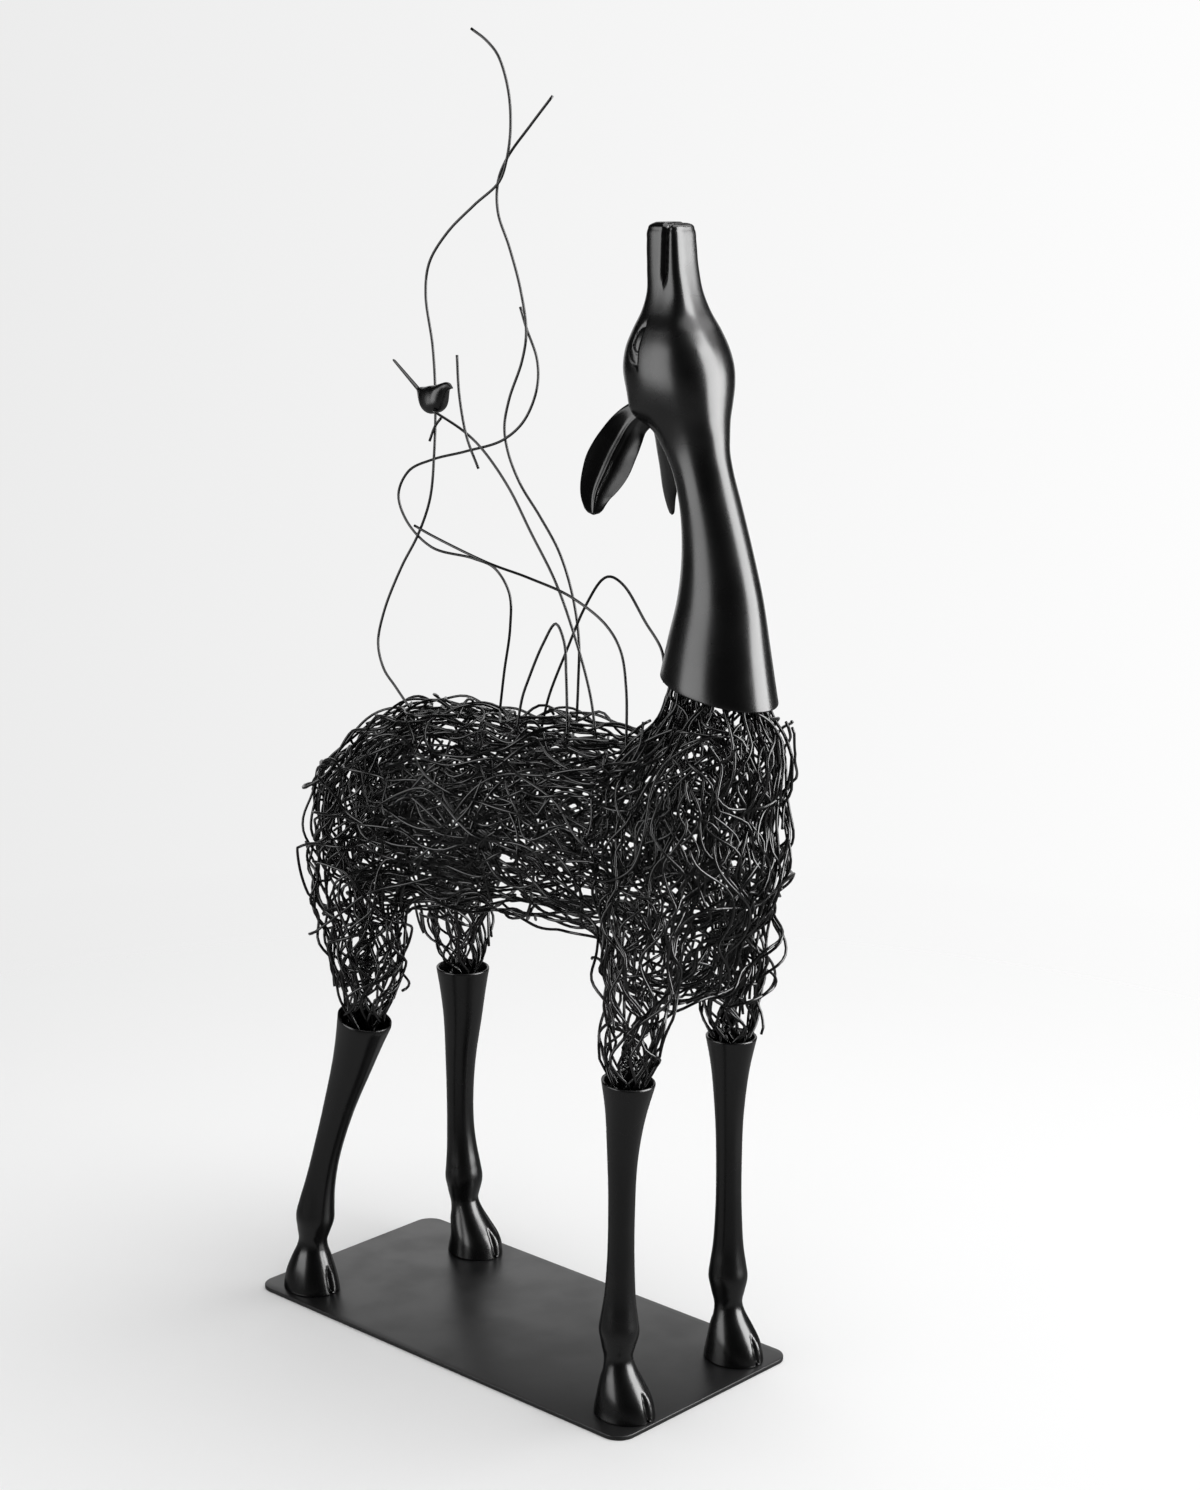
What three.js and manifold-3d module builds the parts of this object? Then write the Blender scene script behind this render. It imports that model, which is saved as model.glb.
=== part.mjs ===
// Standing deer with its muzzle raised: a cast head, neck and lower legs, a body of tangled
// wire, and bent wire branches with a small bird rising from its back, on a flat plate.
// Millimetres, +Z up, +X the way the deer faces. The origin is the centre of the plate's
// underside.

import * as THREE from 'three';
import { mergeVertices } from 'three/addons/utils/BufferGeometryUtils.js';
import Module from 'manifold-3d';

const wasm = await Module();
wasm.setup();

// Plate
const plateLength = 600;
const plateWidth = 290;
const plateThickness = 5;
const plateCornerRadius = 22;

// Figure, from the plate's top to the tip of the muzzle
const figureHeight = 1281;

// Castings: walls at the open cups of the legs and at the neck's collar
const cupWall = 3;
const cupDepth = 42;
const collarWall = 4;
const collarDepth = 75;
const mouthSlitWidth = 3;
const mouthSlitDepth = 7;
const hoofCleftHeight = 27;
const hoofCleftWidth = 8;

// Wire
const bodyWireDiameter = 3.5;
const branchWireDiameter = 2.8;

// Free space that separate pieces keep where they touch
const clearance = 0.3;

// How far a cutting tool reaches past the face that it opens
const cutterMargin = 4;

// Where the hooves stand on the plate: free plate ahead of, behind and beside their soles
const hoofLength = 74;
const hoofWidth = 61;
const frontMargin = 3;
const frontStagger = 4;
const rearMargin = 18;
const rearStagger = 68;
const frontSideMargin = 20;
const hindSideMargin = 9;

// The outlines below are in shares of the figure: one unit is 1/1281 of its height
const unit = figureHeight / 1281;

const wireSides = 4;
const turn = 2 * Math.PI;
const weldDistance = 1e-3;

// Materials
const paint = (color, roughness) => new THREE.MeshStandardMaterial({ color, roughness, metalness: 0.1 });
const platePaint = paint(0x1c1c1d, 0.5);
const castPaint = paint(0x0c0c0d, 0.3);
const wirePaint = paint(0x0e0e0f, 0.4);

// Solids

function solid(geometry) {
  const bare = new THREE.BufferGeometry();
  bare.setAttribute('position', geometry.getAttribute('position'));
  bare.setIndex(geometry.getIndex());
  const merged = mergeVertices(bare, weldDistance);
  const index = merged.getIndex().array;
  const kept = [];
  for (let i = 0; i < index.length; i += 3) {
    const [a, b, c] = index.subarray(i, i + 3);
    if (a !== b && b !== c && c !== a) kept.push(a, b, c);
  }
  const vertProperties = new Float32Array(merged.getAttribute('position').array);
  return new wasm.Manifold(new wasm.Mesh({ numProp: 3, vertProperties, triVerts: new Uint32Array(kept) }));
}

function geometryOf(manifold) {
  const { vertProperties, triVerts } = manifold.getMesh();
  const geometry = new THREE.BufferGeometry();
  geometry.setAttribute('position', new THREE.BufferAttribute(vertProperties, 3));
  geometry.setIndex(new THREE.BufferAttribute(triVerts, 1));
  return geometry;
}

function piece(name, geometry, material) {
  geometry.computeVertexNormals();
  const mesh = new THREE.Mesh(geometry, material);
  mesh.name = name;
  return mesh;
}

// Smooth columns through a table whose first column rises
function columns(table, scale = unit) {
  const heights = table.map((row) => row[0] * unit);
  const values = table.flatMap((row) => row.slice(1).map((value) => value * scale));
  const curve = new THREE.CubicInterpolant(heights, values, table[0].length - 1);
  return (height) => Array.from(curve.evaluate(height));
}

// A closed skin over level rings of a drum: place(share, angle, reach) puts each ring point,
// where share runs from the lowest ring to the highest and reach is 0 at an end's centre.
function skin(rows, sides, place) {
  const drum = new THREE.CylinderGeometry(1, 1, 1, sides, rows);
  const spots = drum.getAttribute('position');
  for (let i = 0; i < spots.count; i += 1) {
    const reach = Math.round(Math.hypot(spots.getX(i), spots.getZ(i)));
    const angle = Math.atan2(-spots.getZ(i), spots.getX(i));
    const { x, y, z } = place(spots.getY(i) + 0.5, angle, reach);
    spots.setXYZ(i, x, y, z);
  }
  return drum;
}

// Rounded ring: square 2 is an ellipse, and more is nearer to a rectangle
function ringPoint(angle, deep, wide, square) {
  const x = Math.cos(angle);
  const y = Math.sin(angle);
  const reach = (Math.abs(x) ** square + Math.abs(y) ** square) ** (-1 / square);
  return [deep * reach * x, wide * reach * y];
}

// A bent wire whose section is stepped exactly at its points
class WireLine extends THREE.CatmullRomCurve3 {
  getUtoTmapping(share) {
    return share;
  }
}

function wire(points, diameter, stepsPerSpan) {
  const section = new THREE.Shape();
  for (let i = 0; i < wireSides; i += 1) {
    const angle = (i * turn) / wireSides;
    const spot = [Math.cos(angle) * diameter / 2, Math.sin(angle) * diameter / 2];
    if (i === 0) section.moveTo(...spot);
    else section.lineTo(...spot);
  }
  const extrudePath = new WireLine(points, false, 'centripetal');
  return new THREE.ExtrudeGeometry(section, { steps: (points.length - 1) * stepsPerSpan, extrudePath });
}

// Head and neck, muzzle up: height, middle, half depth and half width of each level ring
const headRings = columns([
  [760, 306, 73, 58],
  [801, 303, 68, 53.5],
  [850, 304, 58.5, 47],
  [900, 306, 48.5, 38.5],
  [950, 301, 39.5, 33],
  [1000, 290, 34, 30],
  [1030, 280, 34, 29],
  [1050, 272, 36.5, 30.5],
  [1066, 266, 40.5, 33],
  [1081, 259, 45, 36],
  [1098, 251, 52.5, 42],
  [1117, 248, 55.5, 45],
  [1135, 247, 56, 47],
  [1153, 244, 51, 45],
  [1172, 244, 42.5, 38.5],
  [1190, 243, 32.5, 29.5],
  [1208, 241, 26.7, 23.8],
  [1235, 237.5, 23.2, 21],
  [1262, 235.5, 22, 19.9],
  [1273, 235, 21, 19],
  [1279, 235, 18, 16],
  [1281, 235, 14, 12],
]);

// How square the rings are: the neck is round, the cheeks are flatter, the muzzle is boxy
const headSquares = columns([
  [760, 2], [1040, 2], [1066, 2.3], [1098, 2.9], [1135, 3], [1172, 3.1], [1208, 3.8], [1235, 4.5], [1281, 4.5],
], 1);
const headRows = [
  760, 785, 815, 850, 890, 930, 970, 1005, 1030, 1048, 1063, 1077, 1090, 1104, 1120, 1137, 1153, 1167,
  1180, 1194, 1210, 1235, 1262, 1273, 1279, 1281,
].map((height) => height * unit);
const headSides = 20;

function headPoint(height, angle, reach, inset) {
  const [middle, deep, wide] = headRings(height);
  const [square] = headSquares(height);
  const [x, y] = ringPoint(angle, deep - inset, wide - inset, square);
  return { x: middle + reach * x, y: reach * y, z: height };
}

function headSkin(rows, sides, inset) {
  const last = rows.length - 1;
  return solid(skin(last, sides, (share, angle, reach) => (
    headPoint(rows[Math.round(share * last)], angle, reach, inset)
  )));
}

// The collar's mouth is a slanted plane, higher at the nape than at the chest
const collarMiddle = { x: 303 * unit, z: 804 * unit };
const collarSlope = 0.21;

function collarHeight(x) {
  return collarMiddle.z - (x - collarMiddle.x) * collarSlope;
}

function belowCollar() {
  const size = 400 * unit;
  const block = new THREE.BoxGeometry(size, size, size);
  block.translate(0, 0, -size / 2);
  block.rotateY(Math.atan(collarSlope));
  block.translate(collarMiddle.x, 0, collarMiddle.z);
  return solid(block);
}

// The neck's wires end this share of the way up the collar's hollow
const neckWireReach = 0.55;
const neckWireTop = collarMiddle.z + collarDepth * neckWireReach;

function collarHollow() {
  const bottom = headRows[0];
  return headSkin([bottom, collarMiddle.z, neckWireTop, collarMiddle.z + collarDepth], headSides, collarWall);
}

// The mouth: a slit that parts the thin lower jaw, on the throat's side, from the nose
const mouthX = 244 * unit;
const mouthEnd = 1216 * unit;
const muzzleStart = 1190 * unit;
const muzzleFull = 1235 * unit;
const mouthCoreSides = 12;

function mouthSlit() {
  const [, , muzzleWide] = headRings(muzzleStart);
  const top = figureHeight + cutterMargin;
  const block = new THREE.BoxGeometry(mouthSlitWidth, 2 * muzzleWide, top - mouthEnd);
  block.translate(mouthX, 0, (top + mouthEnd) / 2);
  const core = [muzzleStart, muzzleFull, (muzzleFull + figureHeight) / 2, figureHeight - mouthSlitDepth];
  return solid(block).subtract(headSkin(core, mouthCoreSides, mouthSlitDepth));
}

// One ear: a leaf that hangs from behind the jaw, its hollow side outwards with a ridge
// along its middle. Side is -1 for the deer's right and 1 for its left.
const earLine = [
  [232, 12, 1096], [203, 22, 1076], [194, 36, 1051], [188.5, 48, 1026], [183, 57, 1002], [183.5, 62, 980.5],
];
const earShares = [0, 0.2, 0.35, 0.5, 0.65, 0.8, 0.9, 0.97, 1];
const earHalfWidths = [14, 18.5, 23, 25, 23.5, 17, 11.5, 5.5, 1.5];
const earHalfThicknesses = [9, 7, 4, 2.5, 2.5, 2.5, 2.2, 1.8, 1];
const earHollow = 7 * unit;
const earSides = 10;
const earOutward = new THREE.Vector3(0.6, 1, 0.15).normalize();
const leftEarDrop = 13 * unit;
const earRidgeWidth = 0.25;
const earRidgeHeight = 0.8;

function ear(side) {
  const line = new THREE.CatmullRomCurve3(earLine.map((spot) => new THREE.Vector3(...spot).multiplyScalar(unit)));
  const last = earShares.length - 1;
  const leaf = skin(last, earSides, (share, angle, reach) => {
    const row = last - Math.round(share * last);
    const along = earShares[row];
    const spot = line.getPoint(along);
    const down = line.getTangent(along);
    const across = new THREE.Vector3().crossVectors(earOutward, down).normalize();
    const face = new THREE.Vector3().crossVectors(down, across);
    const rim = Math.cos(angle);
    const outward = -side * Math.sin(angle);
    const onFace = outward > 0 && Math.abs(rim) < 1 - 1e-6;
    const ridge = Math.max(1 - Math.abs(rim) / earRidgeWidth, 0);
    const scoop = onFace ? (1 - rim ** 2) * (1 - earRidgeHeight * ridge) : 0;
    const depth = earHollow * Math.sin(Math.PI * along);
    const lift = depth * (rim ** 2 - scoop) + earHalfThicknesses[row] * unit * outward;
    const halfWidth = earHalfWidths[row] * unit;
    spot.addScaledVector(across, reach * halfWidth * rim).addScaledVector(face, reach * lift);
    return spot.set(spot.x, side * spot.y, spot.z - (side > 0 ? leftEarDrop * along ** 2 : 0));
  });
  return solid(leaf);
}

function headAndNeck() {
  const hollowed = headSkin(headRows, headSides, 0).subtract(belowCollar()).subtract(collarHollow());
  return geometryOf(hollowed.subtract(mouthSlit()).add(ear(-1)).add(ear(1)));
}

// Legs: the hooves stand where the plate's margins put them, and each cup's rim is where the
// wire of the body comes down. Ring tables: height, half depth and half width.
const frontLegRings = columns([
  [0, 37, 30.5], [8, 36, 29.5], [26, 31, 26.5], [41, 24.5, 22], [53, 18.5, 18], [64, 16.5, 15.5],
  [80, 19.5, 18.5], [97, 23, 21.5], [113, 21, 20], [130, 18.5, 17.5], [171, 15.7, 14.8], [235, 15, 14],
  [285, 16.3, 15.3], [315, 18.5, 17.5], [350, 22.5, 21.5], [390, 30.5, 29],
]);
const hindLegRings = columns([
  [0, 37, 31.5], [8, 36, 30.5], [26, 31, 27], [41, 25, 22.5], [53, 19.5, 18.5], [62, 17.5, 17],
  [77, 20.5, 19.5], [93, 23.7, 22.5], [110, 22, 21], [130, 19.5, 18.5], [165, 17, 16.5], [200, 17, 16.3],
  [245, 19, 18], [295, 23.5, 22], [340, 29, 27.5], [368, 33.5, 32],
]);
const legRows = [0, 8, 20, 34, 47, 56, 64, 78, 93, 108, 130, 170, 225, 285, 335];
const legSides = 14;

const soleX = {
  frontRight: plateLength / 2 - frontMargin - hoofLength / 2,
  hindRight: rearMargin + hoofLength / 2 - plateLength / 2,
};
soleX.frontLeft = soleX.frontRight - frontStagger;
soleX.hindLeft = soleX.hindRight + rearStagger;
const frontSoleY = plateWidth / 2 - frontSideMargin - hoofWidth / 2;
const hindSoleY = plateWidth / 2 - hindSideMargin - hoofWidth / 2;

// A leg's line: how far it runs behind its sole's middle at each height, as [height, offset],
// and where the middle of its rim is
const legs = {
  front_right_leg: {
    rings: frontLegRings, sole: [soleX.frontRight, -frontSoleY], rim: [269, -99, 388],
    line: [[45, -5], [62, -8], [97, -7], [173, -4], [242, -2], [300, 0]],
  },
  front_left_leg: {
    rings: frontLegRings, sole: [soleX.frontLeft, frontSoleY], rim: [249, 93, 386],
    line: [[45, -5], [62, -8], [97, -9], [173, -9], [242, -9], [300, -9]],
  },
  hind_right_leg: {
    rings: hindLegRings, sole: [soleX.hindRight, -hindSoleY], rim: [-140, -105, 365],
    line: [[45, 2], [62, 4], [93, 9], [160, 26], [243, 56], [310, 84]],
  },
  hind_left_leg: {
    rings: hindLegRings, sole: [soleX.hindLeft, hindSoleY], rim: [-194, 106, 368],
    line: [[45, -12], [62, -18], [93, -19], [160, -24], [243, -23], [310, -18]],
  },
};

const uprightBelow = 30 * unit;
const leansAbove = 90 * unit;

// The middle of a leg and the lean of its rings at a height
function legAxis(leg) {
  const [soleMiddle, soleSide] = leg.sole;
  const [rimX, rimY, rimZ] = leg.rim.map((value) => value * unit);
  const bends = leg.line.map(([height, offset]) => [height, (soleMiddle / unit) + offset]);
  const rows = [[0, soleMiddle / unit], [20, soleMiddle / unit], ...bends, [rimZ / unit, rimX / unit]];
  const middle = columns(rows);
  return (height) => {
    const slope = (middle(height + 1)[0] - middle(height - 1)[0]) / 2;
    const lean = Math.atan(slope) * THREE.MathUtils.smoothstep(height, uprightBelow, leansAbove);
    const y = THREE.MathUtils.lerp(soleSide, rimY, height / rimZ);
    return { x: middle(height)[0], y, lean };
  };
}

function legPoint(leg, height, angle, reach, inset) {
  const { x, y, lean } = legAxis(leg)(height);
  const [deep, wide] = leg.rings(height);
  const out = ringPoint(angle, deep - inset, wide - inset, 2);
  const along = reach * out[0];
  return new THREE.Vector3(x + along * Math.cos(lean), y + reach * out[1], height - along * Math.sin(lean));
}

function legSkin(leg, heights, sides, inset) {
  const last = heights.length - 1;
  return solid(skin(last, sides, (share, angle, reach) => (
    legPoint(leg, heights[Math.round(share * last)], angle, reach, inset)
  )));
}

// The cleft between the two toes, cut into the front of the hoof. It starts this share of the
// hoof's length ahead of its middle.
const cleftStart = 0.36;

function hoofCleft(leg) {
  const [x, y] = leg.sole;
  const slot = new THREE.Shape();
  slot.moveTo(-hoofCleftWidth / 2, -cutterMargin);
  slot.lineTo(hoofCleftWidth / 2, -cutterMargin);
  slot.lineTo(0, hoofCleftHeight);
  const wedge = new THREE.ExtrudeGeometry(slot, { depth: hoofLength / 2, bevelEnabled: false });
  wedge.rotateX(Math.PI / 2);
  wedge.rotateZ(Math.PI / 2);
  wedge.translate(x + hoofLength * cleftStart, y, 0);
  return solid(wedge);
}

// The body's wires end this share of the way down a cup
const cupWireReach = 0.7;
const cupWireDepth = cupDepth * cupWireReach;

function castLeg(leg) {
  const rimHeight = leg.rim[2] * unit;
  const heights = [...legRows.map((height) => height * unit), rimHeight];
  const cup = [cupDepth, cupWireDepth, -cutterMargin].map((depth) => rimHeight - depth);
  const body = legSkin(leg, heights, legSides, 0);
  return geometryOf(body.subtract(legSkin(leg, cup, legSides, cupWall)).subtract(hoofCleft(leg)));
}

// Plate
function plate() {
  const [x, y, r] = [plateLength / 2, plateWidth / 2, plateCornerRadius];
  const outline = new THREE.Shape();
  outline.absarc(x - r, y - r, r, 0, turn / 4);
  outline.absarc(r - x, y - r, r, turn / 4, turn / 2);
  outline.absarc(r - x, r - y, r, turn / 2, 0.75 * turn);
  outline.absarc(x - r, r - y, r, 0.75 * turn, turn);
  return new THREE.ExtrudeGeometry(outline, { depth: plateThickness, bevelEnabled: false, curveSegments: 6 });
}

// Body wire: nets of slanting wires over rings of points. Each ring is turned half a step
// from the last, so the wires that lean one way meet those that lean the other at its points.
const bodyWireSpacing = 72;
const wander = 9 * unit;
const wanderAngle = 0.07;
const longestMitre = 3;
const crossDirection = new THREE.Vector3(0.31, 0.17, 0.93);
THREE.MathUtils.seededRandom(11);
const stray = (reach) => (THREE.MathUtils.seededRandom() - 0.5) * 2 * reach;

// One ring of a net: its points, and the heart that its outward side faces away from
function netRing(count, row, heart, place) {
  const spots = Array.from({ length: count }, (_, i) => place(((i + (row % 2) / 2) * turn) / count));
  return { heart, spots };
}

function netEdges(rings) {
  return rings.slice(1).flatMap(({ spots }, row) => {
    const shift = row % 2 ? 1 : -1;
    const above = rings[row].spots;
    const count = spots.length;
    return above.flatMap((spot, i) => [[spot, spots[i]], [spot, spots[(i + shift + count) % count]]]);
  });
}

// Thickens a net into one closed solid. Every point gets an outer and an inner corner and one
// in each gap between neighbouring wires, and a wire is a four-sided bar between the corners.
function netSolid(rings, edges) {
  const radius = bodyWireDiameter / 2;
  const corners = [];
  const corner = (spot) => corners.push(spot.x, spot.y, spot.z) / 3 - 1;
  const knots = new Map();
  for (const { heart, spots } of rings) {
    for (const spot of spots) {
      const normal = spot.clone().sub(heart).normalize();
      const east = crossDirection.clone().cross(normal).normalize();
      const north = new THREE.Vector3().crossVectors(normal, east);
      const outer = corner(spot.clone().addScaledVector(normal, radius));
      const inner = corner(spot.clone().addScaledVector(normal, -radius));
      knots.set(spot, { spot, east, north, outer, inner, arms: [] });
    }
  }
  for (const ends of edges) {
    ends.forEach((spot, i) => {
      const knot = knots.get(spot);
      const to = ends[1 - i].clone().sub(spot);
      knot.arms.push({ to: ends[1 - i], angle: Math.atan2(to.dot(knot.north), to.dot(knot.east)) });
    });
  }
  for (const { spot, east, north, arms } of knots.values()) {
    arms.sort((a, b) => a.angle - b.angle);
    arms.forEach((arm, i) => {
      const next = arms[(i + 1) % arms.length];
      const gap = (next.angle - arm.angle + turn) % turn || turn;
      const middle = arm.angle + gap / 2;
      const out = Math.min(radius / Math.sin(gap / 2), radius * longestMitre);
      const place = spot.clone().addScaledVector(east, out * Math.cos(middle));
      arm.left = corner(place.addScaledVector(north, out * Math.sin(middle)));
      next.right = arm.left;
    });
  }
  const faces = [];
  const quad = (a, b, c, d) => faces.push(a, b, c, a, c, d);
  for (const [from, to] of edges) {
    const [start, end] = [knots.get(from), knots.get(to)];
    const near = start.arms.find((arm) => arm.to === to);
    const far = end.arms.find((arm) => arm.to === from);
    quad(start.outer, end.outer, far.right, near.left);
    quad(near.right, far.left, end.outer, start.outer);
    quad(near.left, far.right, end.inner, start.inner);
    quad(start.inner, end.inner, far.left, near.right);
  }
  const net = new THREE.BufferGeometry();
  net.setAttribute('position', new THREE.Float32BufferAttribute(corners, 3));
  net.setIndex(faces);
  return solid(net);
}

function nearest(spot, others) {
  return others.reduce((best, other) => (
    other.distanceTo(spot) < best.distanceTo(spot) ? other : best
  ));
}

// Trunk from rump to breast: distance along, height of the middle, half height, half width
const trunk = columns([
  [-300, 556, 40, 46], [-282, 562, 64, 74], [-245, 574, 85, 98], [-190, 594, 105, 112],
  [-110, 612, 117, 114], [0, 618, 120, 112], [110, 618, 120, 110], [200, 620, 122, 112],
  [270, 628, 130, 112], [325, 640, 124, 98], [360, 648, 98, 74], [378, 650, 62, 46],
]);
const trunkStart = -300 * unit;
const trunkEnd = 378 * unit;
const trunkHeartInset = 90 * unit;
const trunkCount = 10;

function trunkPoint(x, angle, out) {
  const [middle, high, wide] = trunk(x);
  return new THREE.Vector3(x, (wide + out) * Math.sin(angle), middle + (high + out) * Math.cos(angle));
}

function trunkRings() {
  const spans = Math.round((trunkEnd - trunkStart) / bodyWireSpacing);
  return Array.from({ length: spans + 1 }, (_, row) => {
    const x = THREE.MathUtils.lerp(trunkStart, trunkEnd, row / spans);
    const heartX = THREE.MathUtils.clamp(x, trunkStart + trunkHeartInset, trunkEnd - trunkHeartInset);
    const heart = new THREE.Vector3(heartX, 0, trunk(x)[0]);
    return netRing(trunkCount, row, heart, (angle) => (
      trunkPoint(x + stray(wander), angle + stray(wanderAngle), stray(wander / 2))
    ));
  });
}

// A wire that crosses the inside of the trunk from one side to the other
function crossingWire(rings) {
  return rings.map(({ spots }, row) => spots[(row % 2) * (trunkCount / 2)]);
}

// Wires inside a hollow keep off its wall by their own radius, and a little more off its facets
const facetSlack = 0.8;
const wireInset = bodyWireDiameter / 2 + clearance + facetSlack;

// The neck's wires run up inside the collar and spread down over breast and shoulders. At the
// collar's mouth they keep off its wall by a further margin, a little below its edge.
const neckCount = 8;
const mouthMargin = 6;
const mouthDrop = 4;
const skirtMiddle = new THREE.Vector3(306, 0, 762).multiplyScalar(unit);
const skirtDeep = 76 * unit;
const skirtWide = 68 * unit;
const skirtTilt = 8 * unit;

function neckRings() {
  const inside = (height, inset) => (angle) => {
    const { x, y, z } = headPoint(height, angle, 1, collarWall + inset);
    return new THREE.Vector3(x, y, z);
  };
  const mouth = (angle) => {
    const spot = inside(collarMiddle.z, wireInset + mouthMargin)(angle);
    spot.z = collarHeight(spot.x) - mouthDrop;
    return spot;
  };
  const skirt = (angle) => new THREE.Vector3(
    skirtMiddle.x + (skirtDeep + stray(wander)) * Math.cos(angle),
    (skirtWide + stray(wander)) * Math.sin(angle),
    skirtMiddle.z - skirtTilt * Math.cos(angle) + stray(wander),
  );
  const topHeart = new THREE.Vector3(headRings(neckWireTop)[0], 0, neckWireTop);
  const mouthHeart = new THREE.Vector3(collarMiddle.x, 0, collarMiddle.z);
  return [
    netRing(neckCount, 0, topHeart, inside(neckWireTop, wireInset)),
    netRing(neckCount, 1, mouthHeart, mouth),
    netRing(neckCount, 2, skirtMiddle, skirt),
  ];
}

// Each upper leg's wires come down in a tapering net and end inside the cup of its casting.
// Rings above the rim: height over it, how far ahead and inward of it, half depth, half width.
const legCount = 6;
const rimSlack = 0.8;
const upperLegs = {
  front_right_leg: [[42, 4, 3, 38, 32], [92, 8, 8, 52, 36], [140, 8, 12, 56, 38]],
  front_left_leg: [[42, 2, 3, 38, 32], [92, 6, 8, 50, 36], [140, 8, 12, 54, 38]],
  hind_right_leg: [[40, 4, 3, 38, 32], [82, 2, 8, 52, 37], [130, -12, 12, 58, 40]],
  hind_left_leg: [[32, -2, 3, 30, 27], [70, -4, 8, 44, 35], [115, -6, 12, 52, 38]],
};

function upperLegRings(leg, name) {
  const [rimX, rimY, rimZ] = leg.rim.map((value) => value * unit);
  const foot = rimZ - cupWireDepth;
  const flare = leg.rings(rimZ)[0] - leg.rings(foot)[0] + rimSlack;
  const inside = (height, row, inset) => {
    const { x, y } = legAxis(leg)(height);
    const heart = new THREE.Vector3(x, y, height);
    return netRing(legCount, row, heart, (angle) => legPoint(leg, height, angle, 1, cupWall + inset));
  };
  const rows = [inside(foot, 0, wireInset), inside(rimZ, 1, wireInset + flare)];
  for (const [above, ahead, inward, deep, wide] of upperLegs[name]) {
    const y = rimY - Math.sign(rimY) * inward * unit;
    const heart = new THREE.Vector3(rimX + ahead * unit, y, rimZ + above * unit);
    rows.push(netRing(legCount, rows.length, heart, (angle) => new THREE.Vector3(
      heart.x + (deep * unit + stray(wander / 2)) * Math.cos(angle),
      heart.y + (wide * unit + stray(wander / 2)) * Math.sin(angle),
      heart.z + stray(wander),
    )));
  }
  return rows;
}

// Branches rising from the back: free bends, each a chosen list of points from its tip down.
// A rooted branch then drops straight onto a body wire, at the end of its list.
const branches = {
  branch_tall_bare: [
    [-36, -18, 1477], [-16, -16, 1465], [-2, -12, 1449], [8, -7, 1413], [7, -3, 1372], [-1, -1.6, 1339],
    [-12, -1.6, 1317], [-49, -4, 1291], [-88, -8, 1260], [-116, -9, 1226], [-123, -8, 1191],
    [-117, -4, 1134], [-118, 0, 1075], [-121, 0, 1016], [-129, 0, 962], [-150, 0, 918],
    [-173, -5, 879], [-195, -13, 826], [-201, -18, 788], [-189, -21, 760], [-166, -24, 742]],
  branch_tall_forked: [
    [43, 25, 1407], [20, 14, 1376], [-2, 1.6, 1343], [-17, 1.6, 1317], [-21, 5, 1284], [-8, 9, 1247],
    [7, 11, 1201], [15, 11, 1156], [8, 11, 1124], [-9, 8, 1082], [-15, 6.4, 1051], [-10, 7, 1023],
    [4, 11, 990], [30, 16, 955], [55, 20, 918], [70, 25, 872], [77, 28, 822], [74, 30, 770]],
  branch_looping: [
    [3, 14.2, 1183], [12, 14.2, 1161], [29, 13.5, 1127], [31, 11, 1097], [17, 6, 1062], [-13, 3.2, 1038],
    [-73, 3.2, 1020], [-128, 3.2, 1006], [-168, 3.2, 989], [-185, 3.2, 961], [-173, 3.2, 933],
    [-132, 3.2, 906], [-63, 3.2, 900], [-29, 4, 892], [-10, 7, 866], [-13, 11, 826], [-29, 17, 772]],
  branch_under_bird: [
    [-98, -23.8, 1066], [-70, -4, 1044], [-45, 0, 1026], [1, -4, 987], [37, -6, 941], [76, -8, 891],
    [107, -10, 834], [132, -12, 773]],
  branch_to_neck: [
    [-152, -3.2, 929], [-122, -3, 920], [-40, 0, 899], [41, -12, 891], [113, -20, 879], [163, -20, 855],
    [184, -20, 830], [194, -22, 790]],
  branch_small_arch: [
    [50, -34, 762], [58, -33, 782], [79, -31, 825], [98, -30, 850], [111, -31, 832], [115, -32, 796],
    [118, -34, 760]],
  branch_large_arch: [
    [48, 10, 756], [76, 9, 811], [104, 8, 862], [135, 3, 898], [151, 0, 904],
    [177, -6, 897], [217, -18, 866]],
  branch_twig: [[-72, -10, 1128], [-71, -8, 1083], [-62, -6.2, 1038], [-44, -6, 1004]],
  branch_stub: [[-105, -3.2, 1056], [-116, -3.2, 1045], [-125, -3.2, 1028]],
};
const looseBranches = ['branch_twig', 'branch_stub'];
const branchRadius = branchWireDiameter / 2;
const branchSteps = 2;

// A branch ends this much over the wire that it stands on, as its end may be cut at a slant
const footGap = clearance + branchRadius / 2;

// Where the large arch meets the nape: height and angle round the neck
const archHeight = 842 * unit;
const archAngle = 3.62;

// The point on the trunk's back below a spot
function backPoint(spot) {
  const [, , wide] = trunk(spot.x);
  return trunkPoint(spot.x, Math.asin(spot.y / wide), 0);
}

// The body wire that a branch stands on passes under its foot between two points of the net
function underWire(foot, spots) {
  const one = nearest(foot, spots);
  const lead = one.clone().sub(foot);
  const other = nearest(foot, spots.filter((spot) => spot.clone().sub(foot).dot(lead) < 0));
  return [[one, foot], [foot, other]];
}

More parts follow.
